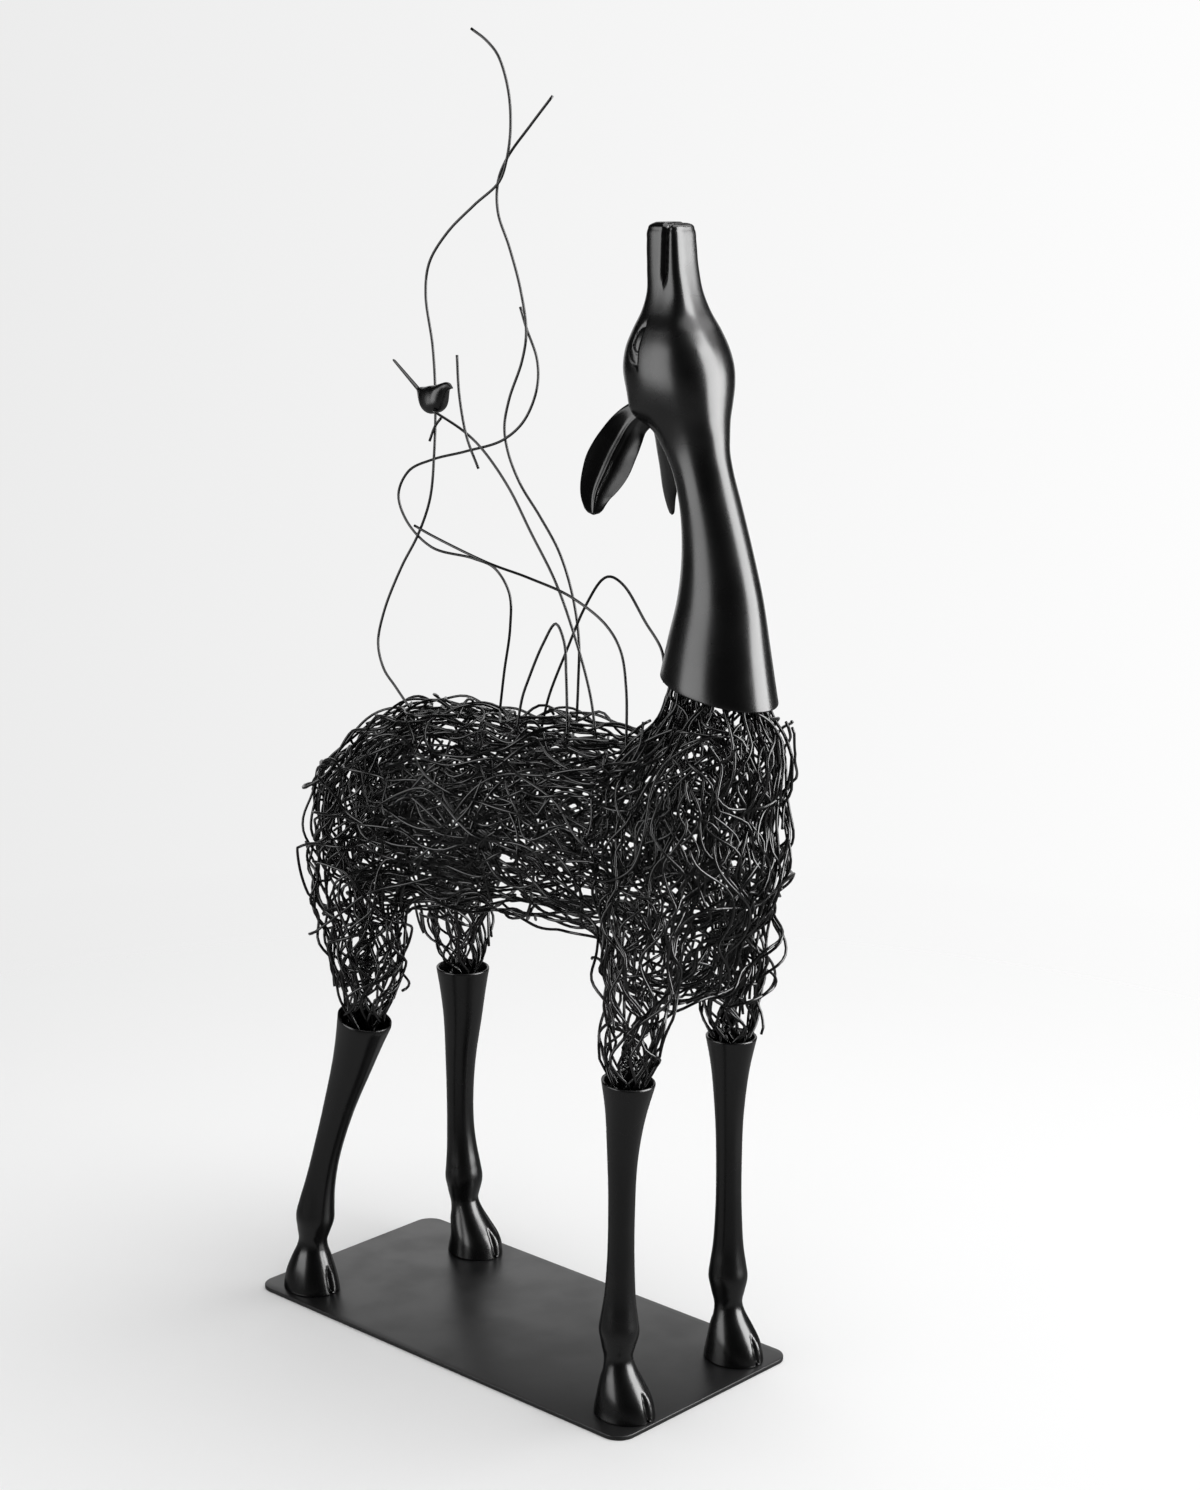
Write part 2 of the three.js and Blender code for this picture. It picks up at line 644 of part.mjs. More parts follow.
function branchPlan() {
  const plans = [];
  const feet = [];
  const drop = (spot) => {
    const foot = backPoint(spot);
    feet.push(foot);
    return foot.clone().setZ(foot.z + bodyWireDiameter / 2 + footGap);
  };
  for (const [name, list] of Object.entries(branches)) {
    const points = list.map((spot) => new THREE.Vector3(...spot).multiplyScalar(unit));
    if (name === 'branch_large_arch') {
      const { x, y, z } = headPoint(archHeight, archAngle, 1, -(branchRadius + clearance));
      points.push(new THREE.Vector3(x, y, z));
      points.unshift(drop(points[0]));
    } else if (!looseBranches.includes(name)) {
      points.push(drop(points[points.length - 1]));
      if (name === 'branch_small_arch') points.unshift(drop(points[0]));
    }
    plans.push({ name, points });
  }
  return { plans, feet };
}

function wireBody(feet) {
  const trunkNet = trunkRings();
  const spots = trunkNet.flatMap((ring) => ring.spots);
  const nets = [neckRings(), ...Object.entries(legs).map(([name, leg]) => upperLegRings(leg, name))];
  const rings = [...trunkNet, ...nets.flat()];
  const edges = [trunkNet, ...nets].flatMap(netEdges);
  for (const net of nets) {
    edges.push(...net[net.length - 1].spots.map((spot) => [spot, nearest(spot, spots)]));
  }
  for (const foot of feet) {
    rings.push({ heart: foot.clone().setZ(0), spots: [foot] });
    edges.push(...underWire(foot, spots));
  }
  const crossing = solid(wire(crossingWire(trunkNet), bodyWireDiameter, 1));
  return geometryOf(netSolid(rings, edges).add(crossing));
}

// Bird: distance along, height of the middle, half height, half width, from tail to beak
const birdRings = columns([
  [-136, 1086.5, 2, 2.5], [-131, 1083, 6, 6], [-119, 1076, 13, 10.5], [-109, 1075, 15, 11.5],
  [-98, 1077, 15, 11.5], [-90, 1080, 14.5, 10.5], [-84, 1085.5, 12, 8.5], [-80, 1090.5, 7.5, 6.5],
  [-76.5, 1091, 3, 3], [-73.5, 1089, 0.8, 0.8],
]);
const birdRows = [-136, -131, -125, -118, -109, -98, -90, -84, -80, -76.5, -73.5];
const birdHalfWidth = 11.5 * unit;
const birdSquare = 2.3;
const birdSides = 12;
const tailBase = new THREE.Vector3(-131, 0, 1086).multiplyScalar(unit);
const tailTip = new THREE.Vector3(-173, 0, 1118).multiplyScalar(unit);
const tailBaseRadius = 2.4 * unit;
const tailTipRadius = 1.2 * unit;
const tailSides = 6;

function bird() {
  const last = birdRows.length - 1;
  const side = -(birdHalfWidth + branchRadius + clearance);
  const body = skin(last, birdSides, (share, angle, reach) => {
    const x = birdRows[Math.round(share * last)] * unit;
    const [middle, high, wide] = birdRings(x);
    const [out, up] = ringPoint(angle, wide, high, birdSquare);
    return { x, y: side + reach * out, z: middle + reach * up };
  });
  const tail = new THREE.CylinderGeometry(tailTipRadius, tailBaseRadius, tailBase.distanceTo(tailTip), tailSides);
  const along = tailTip.clone().sub(tailBase).normalize();
  tail.applyQuaternion(new THREE.Quaternion().setFromUnitVectors(new THREE.Vector3(0, 1, 0), along));
  tail.translate(...tailBase.clone().lerp(tailTip, 0.5));
  tail.translate(0, side, 0);
  return geometryOf(solid(body).add(solid(tail)));
}

const figure = new THREE.Group();
figure.position.z = plateThickness + clearance;
figure.add(piece('head_and_neck', headAndNeck(), castPaint));
for (const [name, leg] of Object.entries(legs)) {
  figure.add(piece(name, castLeg(leg), castPaint));
}
const { plans, feet } = branchPlan();
figure.add(piece('wire_body', wireBody(feet), wirePaint));
for (const { name, points } of plans) {
  figure.add(piece(name, geometryOf(solid(wire(points, branchWireDiameter, branchSteps))), wirePaint));
}
figure.add(piece('bird', bird(), castPaint));

const sculpture = new THREE.Group();
sculpture.add(piece('base_plate', plate(), platePaint), figure);

export default sculpture;
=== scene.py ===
# Deer sculpture: smooth black castings for the head, neck and lower legs, a body of tangled
# wire, bent wire branches with a small bird, and a flat plate, on a plain pale floor.
# Metres, +Z up, +X the way the deer faces. The castings' tables are in millimetres.

import math

import bmesh
import bpy
import numpy as np
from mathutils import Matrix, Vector


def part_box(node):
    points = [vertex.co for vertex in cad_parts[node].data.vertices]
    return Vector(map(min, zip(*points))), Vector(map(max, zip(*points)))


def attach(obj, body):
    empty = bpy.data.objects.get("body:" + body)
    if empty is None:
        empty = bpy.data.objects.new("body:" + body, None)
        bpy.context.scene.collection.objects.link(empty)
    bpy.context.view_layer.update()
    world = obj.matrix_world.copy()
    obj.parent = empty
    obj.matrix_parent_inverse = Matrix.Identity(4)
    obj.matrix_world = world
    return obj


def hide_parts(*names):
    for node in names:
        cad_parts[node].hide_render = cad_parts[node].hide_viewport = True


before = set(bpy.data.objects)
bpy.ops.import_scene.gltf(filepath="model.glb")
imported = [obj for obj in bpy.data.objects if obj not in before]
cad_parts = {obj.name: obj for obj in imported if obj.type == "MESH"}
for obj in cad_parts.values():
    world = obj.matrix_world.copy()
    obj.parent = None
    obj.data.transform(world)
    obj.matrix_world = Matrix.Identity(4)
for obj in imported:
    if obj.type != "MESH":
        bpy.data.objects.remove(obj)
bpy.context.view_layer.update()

MM = 0.001
TURN = math.tau
WELD = 1e-6
SOLE_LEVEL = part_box("front_right_leg")[0].z
PLATE_LOW, PLATE_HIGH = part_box("base_plate")

# Camera, fitted to the photograph of 1200 by 1490 pixels
PHOTO_HEIGHT = 1490
FOCAL_PIXELS = 2769
CAMERA_PLACE = (2.1477, -2.1553, 1.3997)
CAMERA_PITCH = 77.044
CAMERA_AZIMUTH = 43.037
SENSOR_HEIGHT = 36

# Castings
CUP_WALL = 3
CUP_DEPTH = 42
COLLAR_WALL = 4
COLLAR_DEPTH = 75

# Wire, in metres
BODY_WIRE = 0.0033
BRANCH_WIRE = 0.0031


def spot(x, y, z):
    """A point of the figure, given in millimetres over its soles, in the frame."""
    return Vector((x * MM, y * MM, z * MM + SOLE_LEVEL))


def smooth_step(low, high, value):
    """Rises smoothly from 0 at low to 1 at high, or falls where high is under low."""
    share = min(max((value - low) / (high - low), 0), 1)
    return share * share * (3 - 2 * share)


def columns(table):
    """Smooth columns through a table whose first column rises."""
    rows = np.array(table, float)
    levels, values = rows[:, 0], rows[:, 1:]
    slopes = np.gradient(values, levels, axis=0)

    def at(level):
        level = min(max(level, levels[0]), levels[-1])
        i = min(max(int(np.searchsorted(levels, level)) - 1, 0), len(levels) - 2)
        span = levels[i + 1] - levels[i]
        t = (level - levels[i]) / span
        rise = (1 + 2 * t) * (1 - t) ** 2 * values[i] + t * t * (3 - 2 * t) * values[i + 1]
        return rise + span * (t * (1 - t) ** 2 * slopes[i] + t * t * (t - 1) * slopes[i + 1])

    return at


def stretches(*stops):
    """Levels from the first stop on, where each further stop is (level, number of steps)."""
    levels = [stops[0]]
    for level, steps in stops[1:]:
        levels += list(np.linspace(levels[-1], level, steps + 1)[1:])
    return levels


# Meshes


def rolled(rows, sides, place):
    """A grid rolled into a closed skin, with each of its points at place(row, angle)."""
    bm = bmesh.new()
    bmesh.ops.create_grid(bm, x_segments=sides, y_segments=rows, size=0.5)
    for vert in bm.verts:
        angle = (vert.co.x + 0.5) * TURN
        vert.co = place(round((vert.co.y + 0.5) * rows), angle)
    bmesh.ops.remove_doubles(bm, verts=bm.verts, dist=WELD)
    bmesh.ops.recalc_face_normals(bm, faces=bm.faces)
    return bm


def carve(bm, depth_at):
    """Sinks every point of a skin along its normal by depth_at(x, y, z), in millimetres."""
    bm.normal_update()
    sunk = []
    for vert in bm.verts:
        x, y, z = vert.co.x / MM, vert.co.y / MM, (vert.co.z - SOLE_LEVEL) / MM
        sunk.append(vert.co - vert.normal * (depth_at(x, y, z) * MM))
    for vert, place in zip(bm.verts, sunk):
        vert.co = place


def piece(name, bm, material, slot, *nodes):
    """Turns a mesh into a finished piece, which takes the place of any CAD nodes given."""
    mesh = bpy.data.meshes.new(name)
    bm.to_mesh(mesh)
    bm.free()
    mesh.shade_smooth()
    mesh.materials.append(material)
    made = bpy.data.objects.new(name, mesh)
    bpy.context.scene.collection.objects.link(made)
    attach(made, "root")
    if nodes:
        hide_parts(*nodes)
    return made


def wires(lines, diameter, sides):
    """Round wires with closed ends along lists of points, as one mesh."""
    curve = bpy.data.curves.new("wires", "CURVE")
    curve.dimensions = "3D"
    curve.bevel_depth = diameter / 2
    curve.bevel_resolution = sides // 2 - 2
    curve.use_fill_caps = True
    for line in lines:
        spline = curve.splines.new("POLY")
        spline.points.add(len(line) - 1)
        flat = np.ones((len(line), 4))
        flat[:, :3] = line
        spline.points.foreach_set("co", flat.ravel())
    holder = bpy.data.objects.new("wires", curve)
    bm = bmesh.new()
    bm.from_mesh(bpy.data.meshes.new_from_object(holder))
    bpy.data.objects.remove(holder)
    bmesh.ops.remove_doubles(bm, verts=bm.verts, dist=WELD)
    return bm


# Materials


def effect(name, inputs, outputs):
    """A node group with float or colour sockets, and its two ends."""
    group = bpy.data.node_groups.new(name, "ShaderNodeTree")
    for socket, value in inputs.items():
        kind = "NodeSocketColor" if isinstance(value, tuple) else "NodeSocketFloat"
        group.interface.new_socket(socket, in_out="INPUT", socket_type=kind).default_value = value
    for socket, kind in outputs.items():
        group.interface.new_socket(socket, in_out="OUTPUT", socket_type=kind)
    return group, group.nodes.new("NodeGroupInput"), group.nodes.new("NodeGroupOutput")


def noise(group, scale, detail):
    """A noise pattern over object coordinates, and its output."""
    place = group.nodes.new("ShaderNodeTexCoord")
    pattern = group.nodes.new("ShaderNodeTexNoise")
    pattern.inputs["Scale"].default_value = scale
    pattern.inputs["Detail"].default_value = detail
    group.links.new(place.outputs["Object"], pattern.inputs["Vector"])
    return pattern.outputs["Fac"]


def spread(group, value, low, high):
    """A mask that runs from 0 at low to 1 at high."""
    band = group.nodes.new("ShaderNodeMapRange")
    band.interpolation_type = "SMOOTHSTEP"
    band.inputs["From Min"].default_value = low
    band.inputs["From Max"].default_value = high
    group.links.new(value, band.inputs["Value"])
    return band.outputs["Result"]


def mixed(group, kind, mask, first, second):
    """Two values of a kind, RGBA or FLOAT, mixed by a mask."""
    mix = group.nodes.new("ShaderNodeMix")
    mix.data_type = kind
    group.links.new(mask, mix.inputs["Factor"])
    group.links.new(first, mix.inputs["A"])
    group.links.new(second, mix.inputs["B"])
    return mix.outputs["Result"]


PAINT_BLACK, PAINT_DUST = (0.002, 0.002, 0.0022), (0.005, 0.005, 0.005)
PLATE_BLACK, PLATE_DUST = (0.006, 0.006, 0.0065), (0.012, 0.012, 0.012)
CLOUD_SCALE, SPECK_SCALE, PEEL_SCALE = 14, 420, 260
PEEL_STRENGTH = 0.3
SHINE = 0.5


def paint_film():
    """Black paint: cloudy gloss, a little dust in fine specks, and an orange peel."""
    group, start, end = effect(
        "paint_film",
        {
            "Paint": (*PAINT_BLACK, 1),
            "Dust": (*PAINT_DUST, 1),
            "Gloss roughness": 0.25,
            "Dull roughness": 0.35,
        },
        {"Color": "NodeSocketColor", "Roughness": "NodeSocketFloat", "Height": "NodeSocketFloat"},
    )
    made = start.outputs
    clouds = spread(group, noise(group, CLOUD_SCALE, 3), 0.35, 0.7)
    specks = spread(group, noise(group, SPECK_SCALE, 2), 0.62, 0.75)
    color = mixed(group, "RGBA", specks, made["Paint"], made["Dust"])
    gloss = mixed(group, "FLOAT", clouds, made["Gloss roughness"], made["Dull roughness"])
    group.links.new(color, end.inputs["Color"])
    group.links.new(gloss, end.inputs["Roughness"])
    group.links.new(noise(group, PEEL_SCALE, 2), end.inputs["Height"])
    return group


PAINT_FILM = paint_film()


def painted(name, black, dust, gloss, dull, peel):
    """A painted metal: its colours, the range of its roughness and the depth of its peel."""
    material = bpy.data.materials.new(name)
    material.use_nodes = True
    tree = material.node_tree
    shader = tree.nodes["Principled BSDF"]
    shader.inputs["Specular IOR Level"].default_value = SHINE
    film = tree.nodes.new("ShaderNodeGroup")
    film.node_tree = PAINT_FILM
    film.inputs["Paint"].default_value = (*black, 1)
    film.inputs["Dust"].default_value = (*dust, 1)
    film.inputs["Gloss roughness"].default_value = gloss
    film.inputs["Dull roughness"].default_value = dull
    bump = tree.nodes.new("ShaderNodeBump")
    bump.inputs["Strength"].default_value = PEEL_STRENGTH
    bump.inputs["Distance"].default_value = peel
    tree.links.new(film.outputs["Height"], bump.inputs["Height"])
    tree.links.new(bump.outputs["Normal"], shader.inputs["Normal"])
    tree.links.new(film.outputs["Color"], shader.inputs["Base Color"])
    tree.links.new(film.outputs["Roughness"], shader.inputs["Roughness"])
    return material


CASTING_PAINT = painted("casting_paint", PAINT_BLACK, PAINT_DUST, 0.23, 0.29, 0.00006)
WIRE_PAINT = painted("wire_paint", PAINT_BLACK, PAINT_DUST, 0.18, 0.28, 0.0001)
PLATE_PAINT = painted("plate_paint", PLATE_BLACK, PLATE_DUST, 0.34, 0.42, 0.00006)


# Camera, floor and light

# The floor is plain within one radius and faded out at the other
FLOOR_RADIUS, FLOOR_PLAIN = 2.1, 0.7
FLOOR_TONE = 0.86
# The levels between which the surrounding's reflection changes from its lower to its upper tone
MIRRORED_LOW, MIRRORED_HIGH = -0.5, -0.02


def set_camera():
    data = bpy.data.cameras.new("camera")
    data.sensor_fit = "VERTICAL"
    data.sensor_height = SENSOR_HEIGHT
    data.lens = FOCAL_PIXELS * SENSOR_HEIGHT / PHOTO_HEIGHT
    camera = bpy.data.objects.new("camera", data)
    camera.location = CAMERA_PLACE
    camera.rotation_euler = (math.radians(CAMERA_PITCH), 0, math.radians(CAMERA_AZIMUTH))
    bpy.context.scene.collection.objects.link(camera)
    bpy.context.scene.camera = camera


def lay_floor():
    """Pale paper under the figure that fades into the surrounding."""
    bm = bmesh.new()
    bmesh.ops.create_circle(bm, cap_ends=True, segments=128, radius=FLOOR_RADIUS)
    mesh = bpy.data.meshes.new("floor")
    bm.to_mesh(mesh)
    bm.free()
    material = bpy.data.materials.new("floor_paper")
    material.use_nodes = True
    tree = material.node_tree
    shader = tree.nodes["Principled BSDF"]
    shader.inputs["Base Color"].default_value = (FLOOR_TONE, FLOOR_TONE, FLOOR_TONE, 1)
    shader.inputs["Roughness"].default_value = 0.9
    shader.inputs["Specular IOR Level"].default_value = 0
    place = tree.nodes.new("ShaderNodeTexCoord")
    away = tree.nodes.new("ShaderNodeVectorMath")
    away.operation = "LENGTH"
    tree.links.new(place.outputs["Object"], away.inputs[0])
    plain = spread(tree, away.outputs["Value"], FLOOR_RADIUS, FLOOR_PLAIN)
    tree.links.new(plain, shader.inputs["Alpha"])
    mesh.materials.append(material)
    floor = bpy.data.objects.new("floor", mesh)
    floor.location.z = PLATE_LOW.z
    floor.visible_glossy = False
    bpy.context.scene.collection.objects.link(floor)


def soft_box(name, turn, distance, low, high, width, power):
    """An upright panel that only shows as a reflection. Its turn is counted in degrees from the
    camera's side of the figure."""
    bearing = math.radians(CAMERA_AZIMUTH - 90 + turn)
    data = bpy.data.lights.new(name, "AREA")
    data.shape = "RECTANGLE"
    data.size = width
    data.size_y = high - low
    data.energy = power
    panel = bpy.data.objects.new(name, data)
    panel.location = (distance * math.cos(bearing), distance * math.sin(bearing), (low + high) / 2)
    inward = -Vector((math.cos(bearing), math.sin(bearing), 0))
    panel.rotation_euler = inward.to_track_quat("-Z", "Y").to_euler()
    panel.visible_camera = False
    panel.visible_diffuse = False
    bpy.context.scene.collection.objects.link(panel)


def overhead(place, width, power):
    """The soft light from above, which faces the origin."""
    data = bpy.data.lights.new("overhead", "AREA")
    data.size = width
    data.energy = power
    panel = bpy.data.objects.new("overhead", data)
    panel.location = place
    panel.rotation_euler = Vector(place).to_track_quat("Z", "Y").to_euler()
    panel.visible_camera = False
    bpy.context.scene.collection.objects.link(panel)


def set_world(seen, rise, lit, above, below):
    """A pale surrounding. The camera sees it at one brightness, which rises to the right, it
    lights matt surfaces at a second, and gloss mirrors it at one above and one below."""
    world = bpy.data.worlds.new("studio")
    world.use_nodes = True
    tree = world.node_tree
    ground = tree.nodes["Background"]
    ground.inputs["Color"].default_value = (1, 1, 1, 1)
    path = tree.nodes.new("ShaderNodeLightPath")
    place = tree.nodes.new("ShaderNodeTexCoord")
    along = tree.nodes.new("ShaderNodeVectorMath")
    along.operation = "DOT_PRODUCT"
    right = math.radians(CAMERA_AZIMUTH)
    along.inputs[1].default_value = (rise * math.cos(right), rise * math.sin(right), 0)
    shade = tree.nodes.new("ShaderNodeMath")
    shade.inputs[1].default_value = seen
    own = tree.nodes.new("ShaderNodeMapRange")
    own.inputs["To Max"].default_value = lit
    level = tree.nodes.new("ShaderNodeMapRange")
    axes = tree.nodes.new("ShaderNodeSeparateXYZ")
    mirrored = tree.nodes.new("ShaderNodeMapRange")
    mirrored.inputs["From Min"].default_value = MIRRORED_LOW
    mirrored.inputs["From Max"].default_value = MIRRORED_HIGH
    mirrored.inputs["To Min"].default_value = below
    mirrored.inputs["To Max"].default_value = above
    tree.links.new(place.outputs["Generated"], axes.inputs[0])
    tree.links.new(axes.outputs["Z"], mirrored.inputs["Value"])
    tree.links.new(mirrored.outputs["Result"], own.inputs["To Min"])
    tree.links.new(place.outputs["Generated"], along.inputs[0])
    tree.links.new(along.outputs["Value"], shade.inputs[0])
    tree.links.new(shade.outputs["Value"], level.inputs["To Max"])
    tree.links.new(path.outputs["Is Diffuse Ray"], own.inputs["Value"])
    tree.links.new(own.outputs["Result"], level.inputs["To Min"])
    tree.links.new(path.outputs["Is Camera Ray"], level.inputs["Value"])
    tree.links.new(level.outputs["Result"], ground.inputs["Strength"])
    bpy.context.scene.world = world


bpy.context.scene.view_settings.view_transform = "Standard"
set_camera()
lay_floor()
# Soft boxes: turn, distance, low and high edge, width and power
soft_box("right_box", 75, 3.0, 0.1, 3.6, 2.3, 360)
soft_box("left_box", -66, 3.0, 0.1, 2.9, 2.3, 92)
soft_box("back_box", 180, 4.5, 0.1, 3.2, 6.0, 55)
overhead((0.9, 0.8, 3.6), 3.5, 110)
set_world(seen=0.91, rise=0.33, lit=0.57, above=0.02, below=0.32)


# Head and neck, muzzle up: height, middle, half depth, half width and squareness of each ring.
# A ring of squareness 2 is an ellipse, and more is nearer to a rectangle.
HEAD_RINGS = columns([
    (760, 306, 73, 58, 2), (801, 303, 68, 53.5, 2), (850, 304, 58.5, 47, 2),
    (900, 306, 48.5, 38.5, 2), (950, 301, 39.5, 33, 2), (1000, 290, 34, 30, 2),
    (1030, 280, 34, 29, 2), (1050, 272, 36.5, 30.5, 2.1), (1066, 266, 40.9, 33.4, 2.2),
    (1081, 258.8, 46.4, 37.4, 2.35), (1098, 252, 53.6, 43, 2.45), (1117, 248.3, 57.8, 47.2, 2.5),
    (1135, 246.2, 57.9, 48.7, 2.5), (1153, 244.6, 53.3, 46.4, 2.55),
    (1172, 243.6, 43.8, 39.3, 2.8), (1190, 242.6, 33.2, 30.3, 3.2),
    (1208, 241, 26.7, 23.9, 3.7), (1235, 237.5, 23.2, 21, 4.3),
    (1262, 235.5, 22, 19.9, 4.5), (1273, 235, 21, 19, 4.5), (1279, 235, 18, 16, 4.2),
    (1281, 235, 14, 12, 4),
])
MUZZLE_TIP = 1281
# The collar's mouth: its middle, how steeply it slants and the level where the slant runs out
COLLAR_X, COLLAR_Z = 303, 804
COLLAR_SLOPE = 0.21
COLLAR_LEVEL = 900
HEAD_SIDES = 216


def ring_point(angle, deep, wide, square):
    """A point of a ring of half sizes deep and wide."""
    x, y = math.cos(angle), math.sin(angle)
    reach = (abs(x) ** square + abs(y) ** square) ** (-1 / square)
    return deep * reach * x, wide * reach * y


def head_point(z, angle, inset, reach):
    """A point of the head, drawn in by an inset and scaled towards the middle by reach."""
    middle, deep, wide, square = HEAD_RINGS(z)
    x, y = ring_point(angle, deep - inset, wide - inset, square)
    return middle + reach * x, reach * y, z


def collar_tilt(z, x):
    """How far the slant of the collar's mouth lifts a point."""
    return (COLLAR_X - x) * COLLAR_SLOPE * smooth_step(COLLAR_LEVEL, COLLAR_Z, z)


def head_rows():
    """The skin's rows as (height, inset, reach): out over the tip, down, and up the hollow."""
    rows = [(MUZZLE_TIP, 0, reach) for reach in (0, 0.25, 0.5, 0.7, 0.85, 0.95)]
    down = stretches(MUZZLE_TIP, (1271, 12), (1212, 36), (1122, 64), (1040, 30), (COLLAR_Z, 46))
    rows += [(z, 0, 1) for z in down]
    lip = COLLAR_WALL / 2
    for share in (0.15, 0.3, 0.5, 0.7, 0.85):
        turn = share * math.pi
        rows.append((COLLAR_Z - lip * math.sin(turn), lip - lip * math.cos(turn), 1))
    rows += [(COLLAR_Z + rise, COLLAR_WALL, 1) for rise in (0, 12, 30, 52, COLLAR_DEPTH)]
    rows += [(COLLAR_Z + COLLAR_DEPTH, COLLAR_WALL, reach) for reach in (0.6, 0)]
    return rows


# The mouth's line runs down both sides of the muzzle from the tip, as a slit between rolled lips
MOUTH_X = 244
MOUTH_END, MOUTH_FULL = 1212, 1236
SLIT_DEPTH, SLIT_WIDTH = 4.5, 1.1
LIPS_DEPTH, LIPS_WIDTH = 4.0, 3.6


def mouth(x, z):
    """How deep the mouth's line is cut."""
    from_line = x - MOUTH_X
    slit = SLIT_DEPTH * math.exp(-((from_line / SLIT_WIDTH) ** 4))
    lips = LIPS_DEPTH * math.exp(-((from_line / LIPS_WIDTH) ** 2))
    return smooth_step(MOUTH_END, MOUTH_FULL, z) * (slit + lips)


# A closed eye on each side: its place round the head, its height, and the head's radius there
EYE_ANGLE = math.radians(109)
EYE_Z = 1157
EYE_RADIUS = 53
EYE_SPAN = 40
# Depths of the hollow under the brow, of the rim of the lid and of the crease round it, and the
# lid's height. Half widths and half heights of the lid and of the crease.
SOCKET_DEPTH, RIM_DEPTH, FOLD_DEPTH, BALL_HEIGHT = 3.6, 0.9, 0.8, 2.8
LID_SIZE = (10.5, 13.5)
CREASE_SIZE = (17.5, 23.5)


def eye(x, y, z):
    """The brow's edge, the lid's bulge behind it, its rim and a crease below."""
    up = z - EYE_Z
    if abs(up) >= EYE_SPAN:
        return 0
    middle, deep, wide, _ = HEAD_RINGS(z)
    across = (EYE_ANGLE - math.atan2(abs(y) / wide, (x - middle) / deep)) * EYE_RADIUS
    if not -32 < across < 14:
        return 0
    window = smooth_step(-27, -16, up) * smooth_step(28, 16, up)
    edge = smooth_step(5.2, 3.4, across)
    socket = SOCKET_DEPTH * edge * math.exp(-max(4 - across, 0) / 11) * window
    lid = math.hypot((across - 3.5) / LID_SIZE[0], (up - 6.5) / LID_SIZE[1])
    behind = smooth_step(5.0, 3.0, across)
    ball = BALL_HEIGHT * math.sqrt(max(1 - lid * lid, 0)) * behind
    rim = RIM_DEPTH * math.exp(-(((lid - 1.04) / 0.1) ** 2)) * behind
    crease = math.hypot((across - 4.5) / CREASE_SIZE[0], (up - 4) / CREASE_SIZE[1])
    below = behind * smooth_step(6, -4, up)
    fold = FOLD_DEPTH * math.exp(-(((crease - 1) / 0.07) ** 2)) * below
    return socket - ball + rim + fold


# The skin swells where an ear grows out of it
EAR_ROOT = Vector((214, 26, 1089))
ROOT_REACH, ROOT_SWELL = 17, 7


def head_carving(x, y, z):
    """How deep the head's skin is cut, or how far it swells where that is negative."""
    if z > MOUTH_END:
        return mouth(x, z)
    from_root = (Vector((x, abs(y), z)) - EAR_ROOT).length
    return eye(x, y, z) - ROOT_SWELL * math.exp(-((from_root / ROOT_REACH) ** 2))


# Ears: each is a leaf that hangs from behind the jaw, with a ridge down its hollow side
EAR_LINE = [
    (232, 12, 1096), (203, 22, 1076), (194, 36, 1051), (188.5, 48, 1026), (183, 57, 1002),
    (183.5, 62, 980.5),
]
# Along the ear: share, half width, depth of the hollow and half thickness
EAR_WIDTHS = columns([
    (0, 14, 0.5, 9), (0.256, 18.5, 3.5, 7), (0.37, 21.8, 6.5, 4.2), (0.5, 24.4, 8, 3),
    (0.64, 25, 8, 2.6), (0.75, 21.8, 7, 2.4), (0.846, 17.3, 5, 2.3), (0.925, 12.3, 2.8, 2.2),
    (0.97, 8.6, 1.2, 2), (0.99, 5, 0.4, 1.6), (1, 0.8, 0, 0.5),
])
EAR_OUTWARD = Vector((0.6, 1, 0.15)).normalized()
RIDGE_HEIGHT, RIDGE_WIDTH = 0.62, 0.13
LEFT_EAR_DROP = 13
EAR_ROWS, EAR_SIDES = 72, 72


def through(points, step):
    """A smooth line through points, as points about one step apart."""
    knots = [Vector(point) for point in points]
    knots = [2 * knots[0] - knots[1]] + knots + [2 * knots[-1] - knots[-2]]
    line = []
    for before, start, end, after in zip(knots, knots[1:], knots[2:], knots[3:]):
        pairs = ((before, start), (start, end), (end, after))
        first, own, last = (max((b - a).length, 1e-9) ** 0.5 for a, b in pairs)
        out = (start - before) / first - (end - before) / (first + own) + (end - start) / own
        into = (end - start) / own - (after - start) / (own + last) + (after - end) / last
        out, into = out * own, into * own
        count = max(round((end - start).length / step), 2)
        for i in range(count):
            t = i / count
            ahead = t * t * (3 - 2 * t)
            point = start.lerp(end, ahead) + out * (t * (1 - t) ** 2)
            line.append(point + into * (t * t * (t - 1)))
    line.append(knots[-2])
    return line


